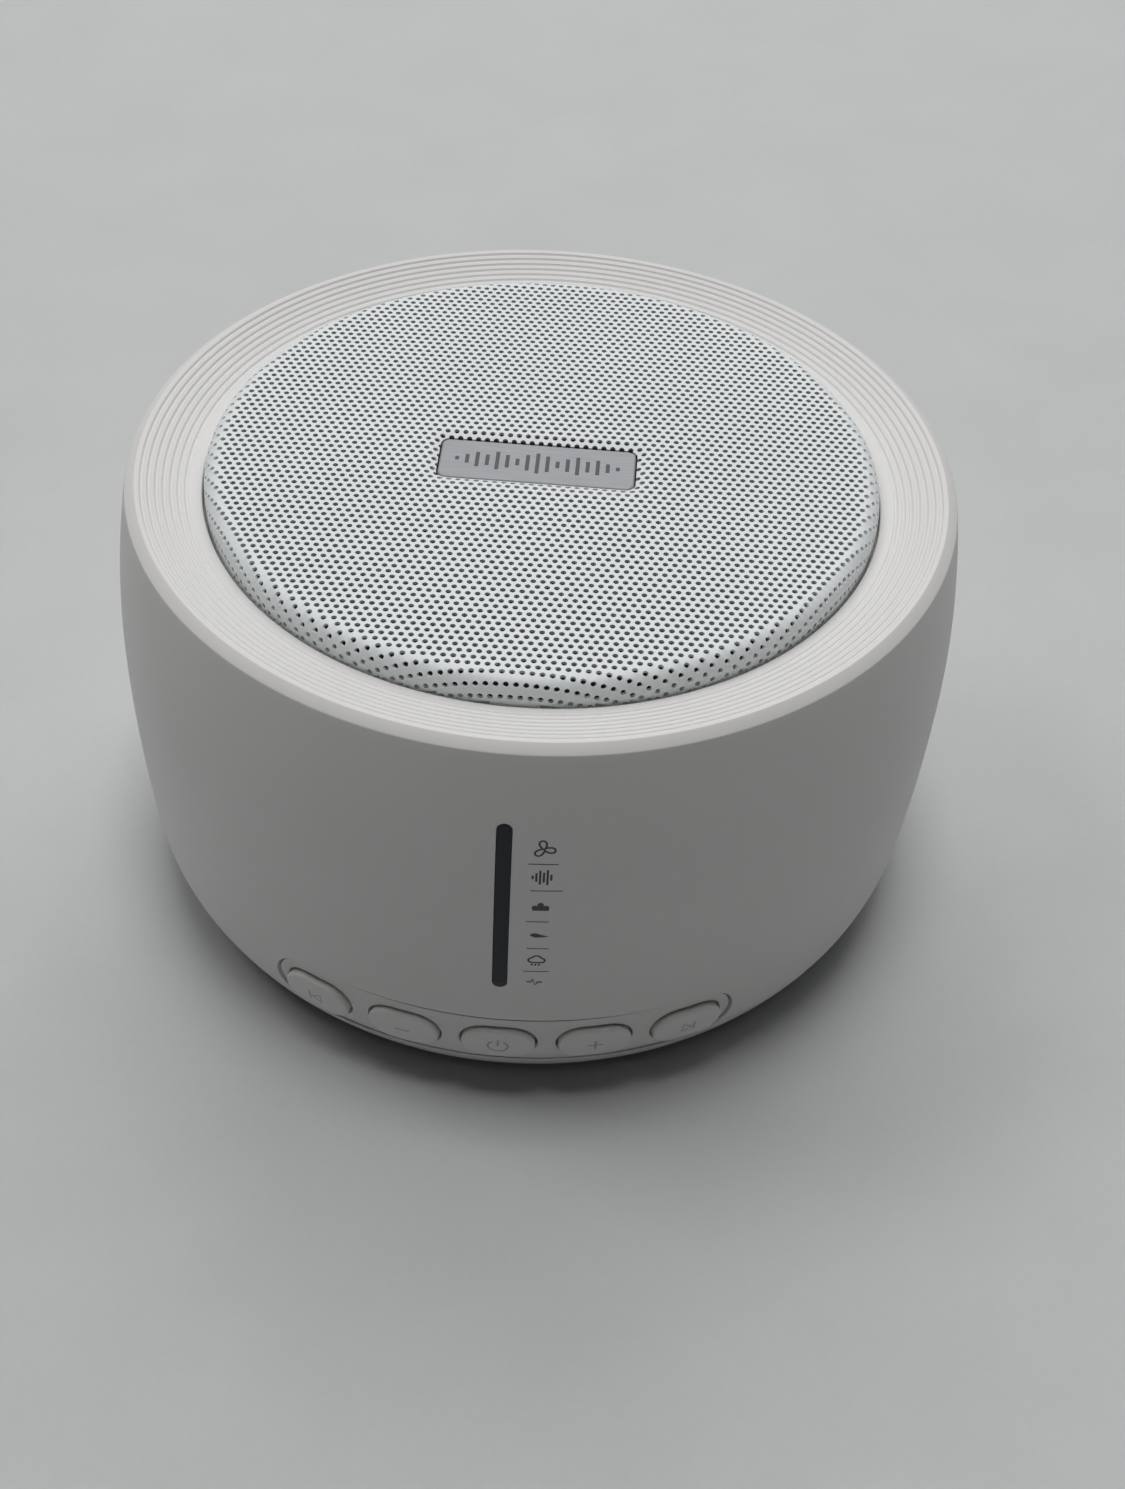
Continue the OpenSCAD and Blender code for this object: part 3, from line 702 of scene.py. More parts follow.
def slot_finish(name):
    """The material of one of the record's slots."""
    colours = bpy.context.scene.machine_colours
    body, mesh, window = tuple(colours.body), tuple(colours.mesh), tuple(colours.window)
    skin, metal, weave, stuff = "MouldedSkin", "BrushedMetal", "PlainWeave", "SpeckledStuff"
    tables = {
        "white_housing": (skin, body, shade(body, 0.97), 5200, (0.42, 0.52), 0.10),
        "white_panel": (skin, body, shade(body, 0.97), 5200, (0.40, 0.50), 0.10),
        "white_buttons": (skin, shade(body, 1.02), shade(body, 0.99), 5200, (0.34, 0.44), 0.08),
        "white_base": (skin, shade(body, 0.96), shade(body, 0.91), 3200, (0.50, 0.62), 0.18),
        "white_grille": (skin, mesh, shade(mesh, 0.96), 6500, (0.38, 0.50), 0.12),
        "satin_plate": (metal, (0.38, 0.39, 0.405), (0.31, 0.32, 0.335), 9000, (0.50, 0.62), 0.12),
        "dark_window": (skin, window, shade(window, 0.8), 900, (0.12, 0.20), 0.02),
        "bonding_tape": (skin, (0.62, 0.61, 0.57), (0.50, 0.49, 0.45), 1800, (0.5, 0.7), 0.25),
        "dust_cloth": (weave, (0.020, 0.021, 0.023), (0.006, 0.006, 0.007), 900, (0.85, 0.95), 0.6),
        "foot_rubber": (stuff, (0.34, 0.34, 0.34), (0.27, 0.27, 0.27), 2400, (0.70, 0.85), 0.25),
        "black_plastic": (skin, (0.025, 0.025, 0.027), (0.016, 0.016, 0.017), 2600, (0.38, 0.5), 0.15),
        "amber_film": (skin, (0.50, 0.23, 0.045), (0.40, 0.17, 0.03), 900, (0.22, 0.32), 0.05),
        "inner_plastic": (skin, (0.60, 0.60, 0.59), (0.50, 0.50, 0.49), 2400, (0.48, 0.6), 0.2),
        "screw_steel": (metal, (0.62, 0.62, 0.60), (0.48, 0.48, 0.46), 7000, (0.26, 0.40), 0.15),
        "emitter_plastic": (skin, (0.82, 0.76, 0.44), (0.74, 0.66, 0.33), 1500, (0.2, 0.3), 0.05),
        "green_board": ("CircuitTracks", (0.035, 0.22, 0.085), (0.015, 0.11, 0.045), 260, (0.26, 0.36), 0.3),
        "basket_steel": (metal, (0.16, 0.16, 0.17), (0.11, 0.11, 0.115), 4200, (0.36, 0.5), 0.2),
        "foam_gasket": (stuff, (0.045, 0.045, 0.047), (0.018, 0.018, 0.019), 1500, (0.88, 0.97), 0.8),
        "black_rubber": (stuff, (0.030, 0.030, 0.031), (0.020, 0.020, 0.021), 2200, (0.5, 0.65), 0.2),
        "paper_cone": (stuff, (0.075, 0.066, 0.055), (0.045, 0.040, 0.034), 1700, (0.75, 0.9), 0.5),
        "black_paper": (stuff, (0.030, 0.030, 0.030), (0.018, 0.018, 0.018), 1900, (0.7, 0.85), 0.4),
        "copper_winding": (metal, (0.78, 0.36, 0.17), (0.58, 0.24, 0.10), 5200, (0.26, 0.4), 0.5),
        "spider_cloth": (weave, (0.52, 0.34, 0.13), (0.32, 0.20, 0.07), 700, (0.78, 0.92), 0.6),
        "plated_steel": (metal, (0.64, 0.64, 0.62), (0.52, 0.52, 0.50), 3600, (0.28, 0.42), 0.12),
        "ferrite": (stuff, (0.055, 0.056, 0.060), (0.032, 0.033, 0.036), 1400, (0.55, 0.75), 0.4),
        "brown_board": ("CircuitTracks", (0.34, 0.19, 0.08), (0.22, 0.115, 0.045), 240, (0.42, 0.55), 0.3),
        "wire_sleeve": (skin, (0.50, 0.035, 0.025), (0.38, 0.022, 0.018), 2000, (0.32, 0.44), 0.1),
        "capacitor_can": (skin, (0.035, 0.045, 0.075), (0.020, 0.026, 0.045), 1800, (0.26, 0.38), 0.08),
        "socket_plastic": (skin, (0.74, 0.70, 0.58), (0.66, 0.62, 0.50), 1900, (0.36, 0.48), 0.12),
        "ribbon_film": (weave, (0.70, 0.68, 0.62), (0.50, 0.48, 0.43), 330, (0.34, 0.46), 0.3),
        "inlet_steel": (metal, (0.66, 0.66, 0.65), (0.52, 0.52, 0.51), 5200, (0.24, 0.36), 0.12),
    }
    sockets = {}
    if tables[name][0] == metal:
        sockets["Metallic"] = 0.25 if name == "satin_plate" else 0.9
    if name in ("white_housing", "white_panel", "white_buttons", "white_base"):
        sockets["Subsurface_Weight"] = 0.06
        sockets["Subsurface_Radius"] = (0.0012, 0.0010, 0.0009)
        sockets["Subsurface_Scale"] = 1.0
    if name in ("dark_window", "amber_film"):
        sockets["Specular_IOR_Level"] = 0.25
        sockets["Coat_Weight"] = 0.05
        sockets["Coat_Roughness"] = 0.08
    return finish(name + "_finish", *tables[name], **sockets)


def ink_finish():
    """The grey print of the pictograms and of the plate's bars."""
    ink = tuple(bpy.context.scene.machine_colours.ink)
    return finish("grey_ink", "MouldedSkin", shade(ink, 1.25), ink, 4200, (0.45, 0.58), 0.05)


def painted_shade_mark_finish():
    """Painted shade for the buttons' raised marks: the body colour darkened, standing in for the shade along
    the fine relief lines.
    """
    tone = shade(tuple(bpy.context.scene.machine_colours.body), 0.6)
    return finish("mark_grey", "MouldedSkin", tone, shade(tone, 0.9), 4200, (0.45, 0.58), 0.05)


# ---------------------------------------------------------------- pieces


class MACHINE_OT_housing(bpy.types.Operator):
    """Model the housing: barrel wall, chamfer, grooved dish, channel, deck and screw posts"""

    bl_idname = "machine.housing"
    bl_label = "Housing"

    def outline(self, sizes):
        """The housing's closed outline as (r, z)."""
        toe = [BASE_Z + (TOE_TOP_Z - BASE_Z) * (1 - math.cos(k * math.pi / 12)) for k in range(6)]
        corner = [TOE_TOP_Z + (CORNER_TOP_Z - TOE_TOP_Z) * k / 12 for k in range(12)]
        top = EDGE_Z - CHAMFER_H
        wall = [CORNER_TOP_Z + (top - CORNER_TOP_Z) * k / 34 for k in range(34)]
        points = [(body_at(z), z, 0) for z in toe + corner + wall]
        points += [(body_at(top), top, 0.30), (RING_R, EDGE_Z, 0.22)]
        half, deep = sizes.groove_half / MM, sizes.groove_depth / MM
        for i in range(GROOVES):
            r = RING_R - FIRST_GROOVE - i * GROOVE_STEP
            for k in (1.0, 0.55, 0.0, -0.55, -1.0):
                points.append((r + k * half, dish_z(r + k * half) - deep * (1 - k * k), 0))
        points += [
            (OPENING_R, dish_z(OPENING_R), 0.28), (OPENING_R, CHANNEL_Z, 0), (CHANNEL_R, CHANNEL_Z, 0),
            (CHANNEL_R, DECK_TOP_Z, 0), (DECK_HOLE_R, DECK_TOP_Z, 0.3), (DECK_HOLE_R, DECK_Z, 0),
            (DECK_ROOT_R, DECK_Z, 0), (RING_ROOT_R, RING_ROOT_Z, 0)]
        inside = [LIP_Z + (RING_ROOT_Z - LIP_Z) * k / 30 for k in range(31)]
        points += [(body_at(z) - WALL, z, 0) for z in reversed(inside)]
        points += [(TOE_CR - 2, LIP_Z, 0), (TOE_CR - 2, BASE_Z, 0)]
        return filleted(points)

    def post(self):
        """The screw post at 45 degrees, with the rib that ties it to the wall."""
        low, high = LIP_Z + 2.1, DECK_Z + 0.5
        bpy.ops.mesh.primitive_cylinder_add(
            vertices=40, radius=POST_R * MM, depth=(high - low) * MM,
            location=(0, -POST_CIRCLE * MM, (low + high) / 2 * MM))
        post = bpy.context.object
        settle(post)
        with editing(post):
            pick(post, "FACE", lambda f: f.normal.z < -0.9)
            bpy.ops.mesh.inset(thickness=POST_WALL * MM)
            bpy.ops.mesh.extrude_region_move(TRANSFORM_OT_translate={"value": (0, 0, 10 * MM)})
        rib_foot, rib_top = 22, RING_ROOT_Z + 0.5
        rib = slab(
            "rib", 1.6, rib_top - rib_foot, 0, -50.8, -POST_CIRCLE - 3.2, at=(0, (rib_top + rib_foot) / 2))
        post = joined("post", [post, rib])
        post.data.transform(Matrix.Rotation(math.radians(45), 4, "Z"))
        return post

    def execute(self, context):
        sizes = context.scene.machine_sizes
        body = turned("housing_shell", self.outline(sizes), sizes.turn_steps)
        slot_cut = slab("slot_cut", STRIP_W, STRIP_LEN, STRIP_W / 2, -CUT_OUT, -CUT_IN, at=(0, STRIP_Z))
        reach = 2 * (math.radians(PANEL_HALF) * WRAP_R + PANEL_R)
        pocket = wrap(slab("pocket", reach, 2 * PANEL_R, PANEL_R, -3, 8, at=(0, PANEL_Z), steps=12))
        mouth = slab("mouth", *INLET_HOLE, CUT_IN, CUT_OUT, at=(0, INLET_Z))
        rim = slab("rim", *INLET_RECESS, INLET_MOUTH + 0.2, CUT_OUT, at=(0, INLET_Z))
        for cutter in (slot_cut, pocket, mouth, rim):
            combine(body, cutter, "DIFFERENCE")
        post = self.post()
        others = [
            copy_of(post, "post", Matrix.Rotation(math.radians(turn), 4, "Z")) for turn in (90, 180, 270)]
        body = joined("housing_body", [body, post] + others)
        smooth(body, 28)
        dressed(body, slot_finish("white_housing"), "machine", "white_housing", "housing")
        return {"FINISHED"}


def on_dome(x, y, press):
    """Where a point of the flat sheet goes on the dome, with the shallow pressing round the plate."""
    rho = np.hypot(x, y)
    turn = np.clip((rho - CROWN_LEN) / SHOULDER_R, 0, math.pi / 2)
    below = np.maximum(rho - CROWN_LEN - SHOULDER_R * math.pi / 2, 0)
    r = np.where(
        rho < CROWN_LEN, CROWN_ARC * np.sin(rho / CROWN_ARC), SHOULDER_CR + SHOULDER_R * np.sin(turn))
    z = np.where(
        rho < CROWN_LEN, CROWN_Z - CROWN_ARC * (1 - np.cos(rho / CROWN_ARC)),
        SHOULDER_CZ + SHOULDER_R * np.cos(turn) - below)
    k = r / np.maximum(rho, 1e-9)
    x, y = x * k, y * k
    # Distance outside the plate's rounded outline.
    dx = np.abs(x - PLATE_X) - PLATE_W / 2 + PLATE_CORNER
    dy = np.abs(y - PLATE_Y) - PLATE_H / 2 + PLATE_CORNER
    away = np.hypot(np.maximum(dx, 0), np.maximum(dy, 0)) + np.minimum(np.maximum(dx, dy), 0) - PLATE_CORNER
    edge = PLATE_TOP_Z - PRESS_DROP
    t = np.clip(away / press, 0, 1)
    z = edge + (z - edge) * (1 - (1 - t) ** PRESS_CURVE)
    return np.column_stack([x, y, z])


class MACHINE_OT_grille(bpy.types.Operator):
    """Model the perforated grille: one hole's cell, arrayed flat, then pressed onto the dome"""

    bl_idname = "machine.grille"
    bl_label = "Grille"

    def cell(self, pitch, row, hole):
        """One brick-shaped cell with a round hole."""
        deselect()
        bpy.ops.mesh.primitive_plane_add(size=1, location=(0, 0, 0))
        obj = bpy.context.object
        obj.name = "mesh_cell"
        obj.scale = (pitch, row, 1)
        settle(obj)
        with editing(obj):
            bpy.ops.mesh.subdivide(number_cuts=1)
            bpy.ops.mesh.select_all(action="SELECT")
            bpy.ops.mesh.dissolve_faces()
            bpy.ops.mesh.inset(thickness=pitch * 0.15)
            inner = [v for v in bmesh.from_edit_mesh(obj.data).verts if v.select]
            for v in inner:
                v.co = v.co.normalized() * hole / 2
            bmesh.update_edit_mesh(obj.data)
            bpy.ops.mesh.delete(type="FACE")
        return obj

    def draw_rim(self, obj, cell_place, hole):
        """Draws the rows over the shoulder apart and keeps their holes round."""

        def drawn(place):
            beyond = max(0.0, place.length - CROWN_LEN * MM)
            return place * (1 + beyond * (DRAWN - 1) / place.length)

        targets = {}
        mesh = bmesh.from_edit_mesh(obj.data)
        for face in mesh.faces:
            middle = Vector((*cell_place(face), 0))
            shift = drawn(middle) - middle
            for vert in face.verts:
                in_hole = (vert.co - middle).length < hole * 0.51
                targets[vert] = vert.co + shift if in_hole else drawn(vert.co)
        for vert, place in targets.items():
            vert.co = place
        bmesh.update_edit_mesh(obj.data)

    def execute(self, context):
        sizes = context.scene.machine_sizes
        pitch, row = sizes.hole_pitch, sizes.hole_pitch * math.sqrt(3) / 2
        reach = SHEET_REACH * MM
        across, along = int(reach / pitch), int(reach / row / 2)
        sheet = self.cell(pitch, row, sizes.hole_size)
        with_modifier(
            sheet, "ARRAY", count=2 * across + 1, use_relative_offset=False, use_constant_offset=True,
            constant_offset_displace=(pitch, 0, 0))
        second = copy_of(sheet, "second_row", Matrix.Translation((pitch / 2, row, 0)))
        sheet = joined("mesh_sheet", [sheet, second])
        with_modifier(
            sheet, "ARRAY", count=2 * along + 1, use_relative_offset=False, use_constant_offset=True,
            constant_offset_displace=(0, 2 * row, 0))
        sheet.data.transform(Matrix.Translation((-across * pitch, -2 * along * row, 0)))
        with editing(sheet):
            bpy.ops.mesh.remove_doubles(threshold=pitch * 0.02)

        def cell_place(face):
            """The middle of this face's cell."""
            centre = face.calc_center_median()
            level = round(centre.y / row)
            shift = pitch / 2 if level % 2 else 0
            return round((centre.x - shift) / pitch) * pitch + shift, level * row

        def near_plate(face):
            """Whether this face's cell lies in the patch that is pressed round the plate."""
            x, y = cell_place(face)
            return (abs(x / MM - PLATE_X) < PLATE_W / 2 + PRESS_MARGIN
                    and abs(y / MM - PLATE_Y) < PLATE_H / 2 + PRESS_MARGIN)

        with editing(sheet):
            pick(sheet, "FACE", lambda f: math.hypot(*cell_place(f)) > SHEET_END * MM)
            bpy.ops.mesh.delete(type="FACE")
            pick(sheet, "FACE", near_plate)
            bpy.ops.mesh.separate(type="SELECTED")
        patch = [o for o in context.selected_objects if o is not sheet][0]
        with editing(sheet):
            pick(sheet, "FACE", lambda f: math.hypot(*cell_place(f)) > BORDER_START * MM)
            bpy.ops.mesh.separate(type="SELECTED")
        border = [o for o in context.selected_objects if o is not sheet][0]
        with editing(border):
            self.draw_rim(border, cell_place, sizes.hole_size)
        with editing(patch):
            bpy.ops.mesh.subdivide(number_cuts=1)
        sheet.name, patch.name, border.name = "grille_crown", "grille_press", "grille_border"
        for piece in (sheet, patch, border):
            co = points_of(piece)
            put_points(piece, on_dome(co[:, 0], co[:, 1], sizes.press_width / MM))
            with_modifier(piece, "SOLIDIFY", thickness=sizes.sheet, offset=-1, use_even_offset=True)
            if piece is patch:
                cut = slab(
                    "plate_cut", PLATE_W + 0.3, PLATE_H + 0.3, PLATE_CORNER + 0.15, -62, -55,
                    at=(PLATE_X, PLATE_Y))
                cut.data.transform(LIE_DOWN)
                combine(piece, cut, "DIFFERENCE")
            smooth(piece, 35)
            dressed(piece, slot_finish("white_grille"), "machine", "white_grille", "grille")
        low, high, out = CHANNEL_Z + 0.3, dish_z(GRILLE_R) - 0.15, GRILLE_R - 0.03
        outline = [(out, low, 0.1), (out, high, 0.1), (out - 0.45, high, 0), (out - 0.45, low, 0)]
        skirt = turned("grille_skirt", filleted(outline), sizes.turn_steps)
        smooth(skirt, 35)
        dressed(skirt, slot_finish("white_grille"), "machine", "white_grille", "grille")
        return {"FINISHED"}


class MACHINE_OT_nameplate(bpy.types.Operator):
    """Model the satin plate with its bevelled edge and a plain row of sound-level bars"""

    bl_idname = "machine.nameplate"
    bl_label = "Name plate"

    def execute(self, context):
        plate = slab(
            "plate_body", PLATE_W, PLATE_H, PLATE_CORNER, -PLATE_TOP_Z, -PLATE_TOP_Z + 0.8, edge=0.32,
            at=(PLATE_X, PLATE_Y))
        plate.data.transform(LIE_DOWN)
        smooth(plate, 40, weighted=True)
        dressed(plate, slot_finish("satin_plate"), "machine", "satin_plate", "nameplate")
        heights = (0.7, 1.7, 2.9, 2.1, 3.5, 2.5, 1.3, 3.1, 4.0, 3.1, 1.3, 2.5, 3.5, 2.1, 2.9, 1.7, 0.7)
        first = PLATE_X - BAR_STEP * (len(heights) - 1) / 2
        paths = [upright(first + i * BAR_STEP, PLATE_Y, h) for i, h in enumerate(heights)]
        bars = lines("plate_bars", paths, BAR_W, 0.03, level=-PLATE_TOP_Z)
        bars.data.transform(LIE_DOWN)
        smooth(bars, 60)
        dressed(bars, ink_finish(), "machine", "satin_plate")
        return {"FINISHED"}


class MACHINE_OT_light_strip(bpy.types.Operator):
    """Model the dark light strip with its round ends and rear flange"""

    bl_idname = "machine.light_strip"
    bl_label = "Light strip"

    def execute(self, context):
        front = slab(
            "strip_front", STRIP_W - 0.1, STRIP_LEN - 0.1, STRIP_W / 2 - 0.05, 0.06, 2.3, edge=0.1,
            at=(0, STRIP_Z))
        rear = slab("strip_rear", 4.4, STRIP_LEN + 3.2, 0.6, WALL + 0.1, WALL + 1.1, at=(0, STRIP_Z))
        strip = wrap(joined("strip_window", [front, rear]))
        smooth(strip, 35)
        dressed(strip, slot_finish("dark_window"), "machine", "dark_window", "led_window")
        return {"FINISHED"}


def arc(cx, cz, r, start, end, steps):
    """Points of an arc, in degrees anticlockwise from +x."""
    turns = [math.radians(start + (end - start) * k / steps) for k in range(steps + 1)]
    return [(cx + r * math.cos(turn), cz + r * math.sin(turn)) for turn in turns]


def petal(cx, cz, turn, reach, width):
    """A closed petal from a hub outwards, of ten points."""
    points = []
    cos, sin = math.cos(math.radians(turn)), math.sin(math.radians(turn))
    for k in range(10):
        t = math.tau * k / 10
        along = reach / 2 * (1 - math.cos(t))
        side = width / 2 * math.sin(t) * (0.55 + 0.45 * along / reach)
        points.append((cx + along * cos - side * sin, cz + along * sin + side * cos))
    return points


def blots(name, outlines, proud):
    """Solid patches of print in (x, z) millimetres: each outline is drawn, filled and thickened."""
    pieces = []
    for outline in outlines:
        obj = chain(name, [(x, -proud, z) for x, z in outline], closed=True)
        with editing(obj):
            bpy.ops.mesh.edge_face_add()
            bpy.ops.mesh.extrude_region_move(TRANSFORM_OT_translate={"value": (0, 2 * proud * MM, 0)})
            bpy.ops.mesh.select_all(action="SELECT")
            bpy.ops.mesh.normals_make_consistent(inside=False)
        pieces.append(obj)
    return joined(name, pieces)


class MACHINE_OT_pictograms(bpy.types.Operator):
    """Print the six sound pictograms and the short lines between them"""

    bl_idname = "machine.pictograms"
    bl_label = "Pictograms"

    def line_paths(self, x):
        """The pictograms that are drawn in lines, as (points, closed) in (x, z)."""
        bars = [
            upright(x + dx, 41.3, h)
            for dx, h in ((-1.0, 0.5), (-0.6, 1.3), (-0.2, 2.1), (0.2, 1.5), (0.6, 2.3), (1.0, 0.9))]
        puffs = (
            arc(x - 0.65, 27.3, 0.42, 110, 270, 6) + arc(x + 0.4, 27.25, 0.38, -90, 60, 6)
            + arc(x - 0.15, 27.6, 0.5, 20, 150, 6))
        cloud = [(puffs, True)]
        cloud += [([(x + dx, 26.62), (x + dx - 0.1, 26.35)], False) for dx in (-0.6, -0.2, 0.2)]
        pulse = [([
            (x - 1.15, 23.2), (x - 0.65, 23.2), (x - 0.45, 23.75), (x - 0.15, 22.65), (x + 0.1, 23.2),
            (x + 0.6, 23.2)], False)]
        fan = [(petal(x + 0.1, 45.5, turn, 1.25, 1.0), True) for turn in (100, 225, 350)]
        return fan + bars + cloud + pulse

    def filled_paths(self, x):
        """The pictograms that are printed solid, as closed outlines in (x, z)."""
        bushes = [
            arc(x + dx, 36.5 + dz, 0.36, -30, 210, 8) + [(x + dx - 0.3, 36.0), (x + dx + 0.3, 36.0)]
            for dx, dz in ((-0.6, -0.05), (0.0, 0.42), (0.6, -0.05))]
        leaf = [[
            (x - 1.05, 31.75), (x - 0.8, 32.05), (x - 0.35, 32.1), (x + 0.3, 31.8), (x + 1.05, 31.6),
            (x + 0.3, 31.45), (x - 0.5, 31.4)]]
        return bushes + leaf

    def execute(self, context):
        width = context.scene.machine_sizes.print_width / MM
        drawn = lines("pictogram_marks", self.line_paths(PICTOGRAM_X), width, PRINT_H)
        filled = blots("pictogram_fills", self.filled_paths(PICTOGRAM_X), PRINT_H)
        marks = wrap(joined("pictogram_marks", [drawn, filled]), step=3.0)
        spans = (
            (43.3, 2.7, 5.9), (39.2, 3.0, 6.5), (34.1, 2.7, 5.15), (29.4, 2.9, 5.3), (25.2, 2.6, 5.5))
        rules = [
            ([(start + (end - start) * k / 6, z) for k in range(7)], False) for z, start, end in spans]
        dividers = wrap(lines("pictogram_rules", rules, 0.14, 0.02), step=3.0)
        for piece in (marks, dividers):
            smooth(piece, 60)
            dressed(piece, ink_finish(), "machine", "white_housing")
        return {"FINISHED"}


class MACHINE_OT_button_panel(bpy.types.Operator):
    """Model the curved panel with its five button openings"""

    bl_idname = "machine.button_panel"
    bl_label = "Button panel"

    def execute(self, context):
        reach = 2 * math.radians(PANEL_HALF) * WRAP_R
        face_r, flange_r = PANEL_R - PANEL_GAP, PANEL_R + 1.6
        panel = slab(
            "panel_face", reach + 2 * face_r, 2 * face_r, face_r, PANEL_FRONT, WALL + 0.2,
            at=(0, PANEL_Z), steps=12)
        flange = slab(
            "panel_flange", reach + 2 * flange_r, 2 * flange_r, flange_r, WALL + 0.1, 3.4,
            at=(0, PANEL_Z), steps=12)
        combine(panel, flange, "UNION")
        for i in range(5):
            x = math.radians((i - 2) * KEY_STEP) * WRAP_R
            hole = slab(
                "key_hole", KEY_W + 2 * KEY_GAP, KEY_H + 2 * KEY_GAP, KEY_CORNER + KEY_GAP, -1, 5,
                at=(x, KEY_Z))
            combine(panel, hole, "DIFFERENCE")
        with editing(panel):
            y = PANEL_FRONT * MM
            pick(panel, "EDGE", lambda e: all(abs(v.co.y - y) < 1e-7 for v in e.verts)
                 and len(e.link_faces) == 2 and e.calc_face_angle() > 0.5)
            bpy.ops.mesh.bevel(offset=0.09 * MM, segments=2, affect="EDGES", profile=0.5)
        end = math.radians(PANEL_END)
        wrap(panel, depth=lambda turn: PANEL_DROOP * (turn / end) ** 2)
        panel.name = "panel_body"
        smooth(panel, 35, weighted=True)
        dressed(panel, slot_finish("white_panel"), "machine", "white_panel", "button_panel")
        return {"FINISHED"}


class MACHINE_OT_buttons(bpy.types.Operator):
    """Model one push button, then copy it five times, each with its own faint mark"""

    bl_idname = "machine.buttons"
    bl_label = "Buttons"

    def symbol(self, name, level):
        """The fine lines of one button's mark, on a flat button."""
        z = KEY_Z - 0.1
        side = 1 if name == "next" else -1
        arrow = [(side * -0.75, z - 0.8), (side * 0.45, z), (side * -0.75, z + 0.8)]
        track = [(arrow, True), upright(side * 0.8, z, 1.6)]
        minus = ([(-0.9, z), (0, z), (0.9, z)], False)
        drawings = {
            "previous": track,
            "next": track,
            "volume_down": [minus],
            "volume_up": [minus, upright(0, z, 1.8)],
            "power": [
                (arc(0, z, 1.2, 125, 415, 18), False), ([(0, z + 0.1), (0, z + 0.7), (0, z + 1.35)], False)],
        }
        return wrap(lines("key_mark_" + name, drawings[name], 0.26, 0.03, level=level))

    def execute(self, context):
        proud = context.scene.machine_sizes.key_proud / MM
        cap = slab(
            "cap", KEY_W, KEY_H, KEY_CORNER, -proud, 4.0, edge=0.34, at=(0, KEY_Z), steps=10, edge_steps=4)
        flange = slab("flange", KEY_W + 0.7, KEY_H + 1.6, KEY_CORNER, 3.7, FLANGE_BACK, at=(0, KEY_Z))
        stem = slab("stem", 3.2, 3.2, 1.6, FLANGE_BACK - 0.1, STEM_BACK, at=(0, KEY_Z))
        first = wrap(joined("key", [cap, flange, stem]))
        smooth(first, 35, weighted=True)
        for i, name in enumerate(KEY_NAMES):
            spin = Matrix.Rotation(math.radians((i - 2) * KEY_STEP), 4, "Z")
            key = copy_of(first, "key_" + name, spin)
            dressed(key, slot_finish("white_buttons"), "button_" + name, "white_buttons", "button_" + name)
            mark = self.symbol(name, -proud)
            mark.data.transform(spin)
            # The mark is raised in the button's own plastic; its darker grey is painted shade.
            smooth(mark, 60)
            dressed(mark, painted_shade_mark_finish(), "button_" + name, "white_buttons")
        only(first)
        bpy.ops.object.delete()
        return {"FINISHED"}


class MACHINE_OT_inner_finishes(bpy.types.Operator):
    """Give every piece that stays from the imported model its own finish"""

    bl_idname = "machine.inner_finishes"
    bl_label = "Inner finishes"

    def execute(self, context):
        slots = {row["node"]: row["material_slot"] for row in frame["record"]["subparts"]}
        for name, obj in frame["nodes"].items():
            material = slot_finish(slots[name])
            for place in obj.material_slots:
                place.material = material
        return {"FINISHED"}


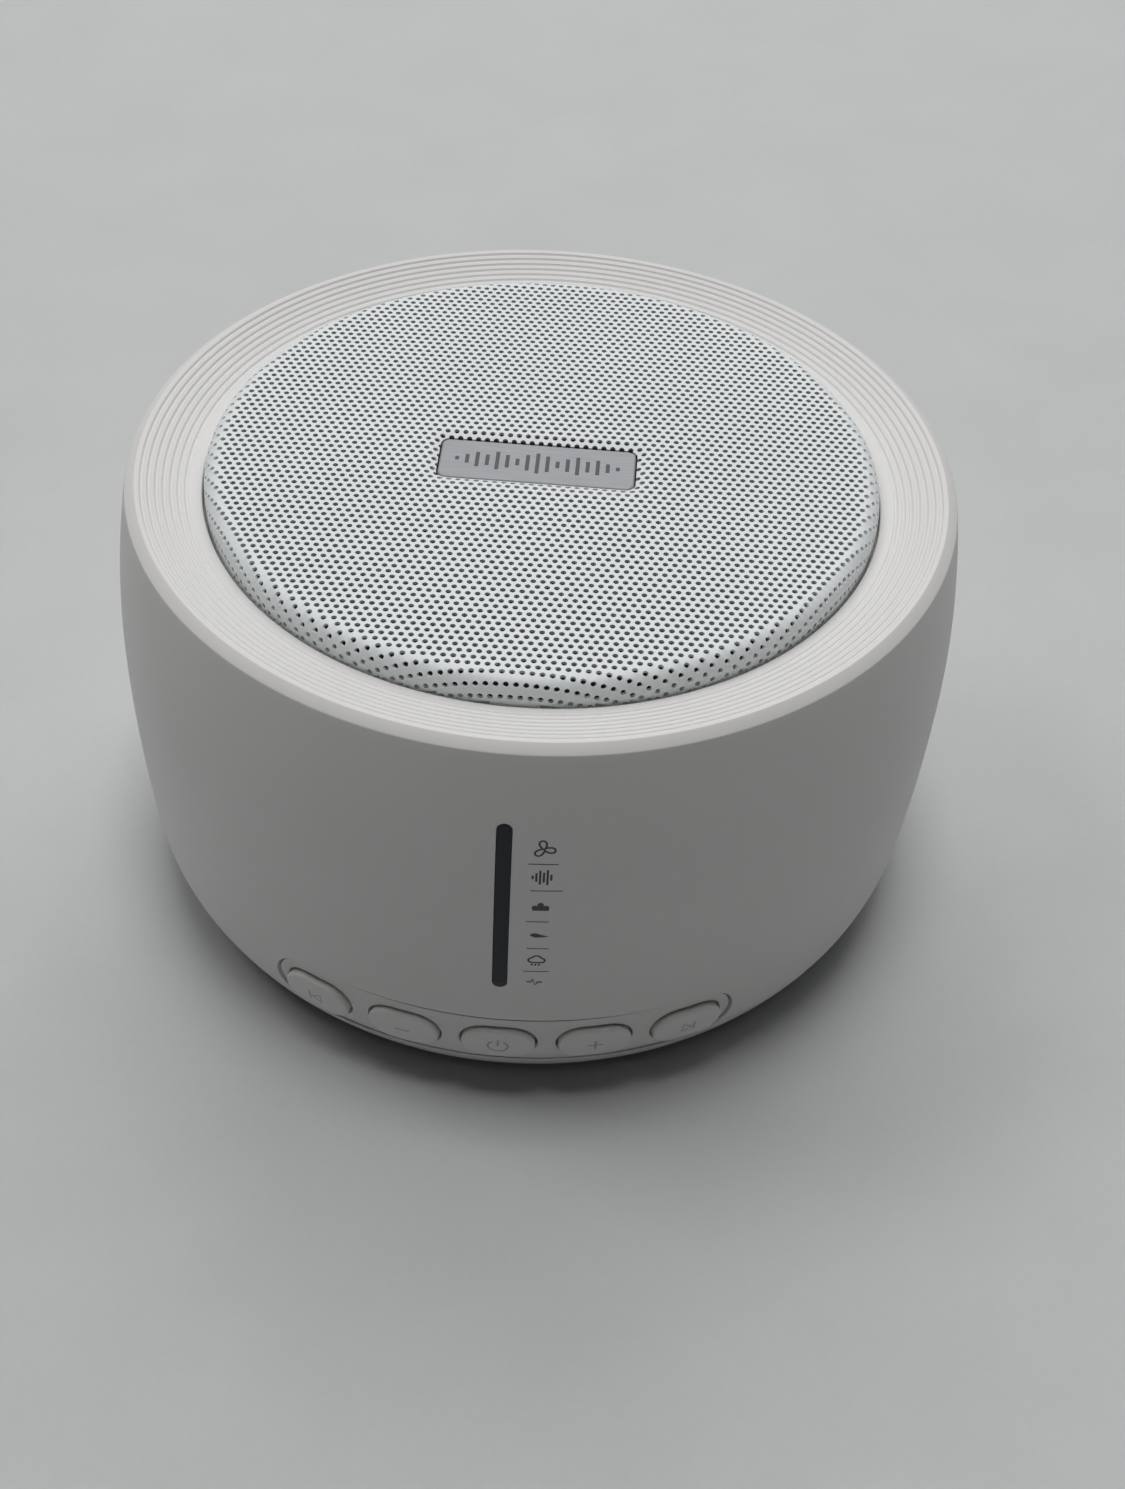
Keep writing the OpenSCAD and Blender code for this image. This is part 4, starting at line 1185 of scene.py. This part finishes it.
class MACHINE_OT_stage(bpy.types.Operator):
    """Set up the floor, the soft lamps and the camera"""

    bl_idname = "machine.stage"
    bl_label = "Stage"

    def lamp(self, name, place, size, power):
        """A square soft lamp that looks at the machine."""
        bpy.ops.object.light_add(type="AREA", location=place)
        lamp = bpy.context.object
        lamp.name = name
        lamp.rotation_euler = (Vector((0, 0, 0.03)) - Vector(place)).to_track_quat("-Z", "Y").to_euler()
        lamp.data.shape = "SQUARE"
        lamp.data.size = size
        lamp.data.energy = power

    def execute(self, context):
        scene, stage = context.scene, context.scene.machine_stage
        colour = tuple(scene.machine_colours.floor)
        deselect()
        bpy.ops.mesh.primitive_plane_add(size=3.2, location=(0, 0, 0))
        floor = bpy.context.object
        floor.name = "floor"
        with editing(floor):
            bpy.ops.mesh.subdivide(number_cuts=8)
        floor.data.materials.append(
            finish("table_top", "MouldedSkin", colour, shade(colour, 0.96), 900, (0.55, 0.7), 0.05))
        for name, place, size in (
                ("top", (0, 0, 2.4), 0.7), ("ceiling", (0, 0.8, 1.4), 1.5), ("back", (0, 1.4, 1.1), 1.5),
                ("left", (-1.2, 0.3, 1.8), 0.7), ("right", (1.2, 0.3, 1.8), 0.7)):
            self.lamp(name + "_lamp", place, size, getattr(stage, name + "_power"))
        world = scene.world or bpy.data.worlds.new("World")
        scene.world = world
        world.use_nodes = True
        tree = world.node_tree
        sky = tree.nodes["Background"]
        sky.inputs["Color"].default_value = (0.96, 0.98, 1.0, 1)
        rays = tree.nodes.new("ShaderNodeLightPath").outputs
        seen = maths(tree, "MAXIMUM", rays["Is Camera Ray"], rays["Is Glossy Ray"])
        seen = maths(tree, "MAXIMUM", seen, rays["Is Transmission Ray"])
        feed(tree, maths(tree, "MULTIPLY_ADD", seen, stage.backdrop, stage.sky), sky.inputs["Strength"])
        bpy.ops.object.camera_add()
        camera = bpy.context.object
        camera.name = "camera"
        camera.data.lens = stage.camera_lens
        camera.data.sensor_width = 36
        camera.data.clip_start = 0.01
        camera.matrix_world = (
            Matrix.Translation(stage.camera_place)
            @ Matrix.Rotation(stage.camera_heading, 4, "Z")
            @ Matrix.Rotation(math.radians(90) - stage.camera_pitch, 4, "X")
            @ Matrix.Rotation(stage.camera_roll, 4, "Z"))
        scene.camera = camera
        scene.view_settings.view_transform = "Standard"
        return {"FINISHED"}


class MACHINE_PT_panel(bpy.types.Panel):
    """Sizes, colours and steps of the sound machine"""

    bl_idname = "MACHINE_PT_panel"
    bl_label = "Sound machine"
    bl_space_type = "VIEW_3D"
    bl_region_type = "UI"
    bl_category = "Sound machine"

    def draw(self, context):
        for group_of_settings in (
                context.scene.machine_sizes, context.scene.machine_colours, context.scene.machine_stage):
            box = self.layout.box()
            for key in group_of_settings.__annotations__:
                box.prop(group_of_settings, key)
        for operator in OPERATORS:
            self.layout.operator(operator.bl_idname)


SETTINGS = (MachineSizes, MachineColours, StageSettings)
OPERATORS = (
    MACHINE_OT_housing, MACHINE_OT_grille, MACHINE_OT_nameplate, MACHINE_OT_light_strip,
    MACHINE_OT_pictograms, MACHINE_OT_button_panel, MACHINE_OT_buttons, MACHINE_OT_inner_finishes,
    MACHINE_OT_stage)


def register():
    for cls in SETTINGS + OPERATORS + (MACHINE_PT_panel,):
        bpy.utils.register_class(cls)
    bpy.types.Scene.machine_sizes = PointerProperty(type=MachineSizes)
    bpy.types.Scene.machine_colours = PointerProperty(type=MachineColours)
    bpy.types.Scene.machine_stage = PointerProperty(type=StageSettings)


def unregister():
    del bpy.types.Scene.machine_sizes
    del bpy.types.Scene.machine_colours
    del bpy.types.Scene.machine_stage
    for cls in reversed(SETTINGS + OPERATORS + (MACHINE_PT_panel,)):
        bpy.utils.unregister_class(cls)


def main():
    register()
    bpy.ops.machine.housing()
    bpy.ops.machine.grille()
    bpy.ops.machine.nameplate()
    bpy.ops.machine.light_strip()
    bpy.ops.machine.pictograms()
    bpy.ops.machine.button_panel()
    bpy.ops.machine.buttons()
    bpy.ops.machine.inner_finishes()
    bpy.ops.machine.stage()


if __name__ == "__main__":
    main()
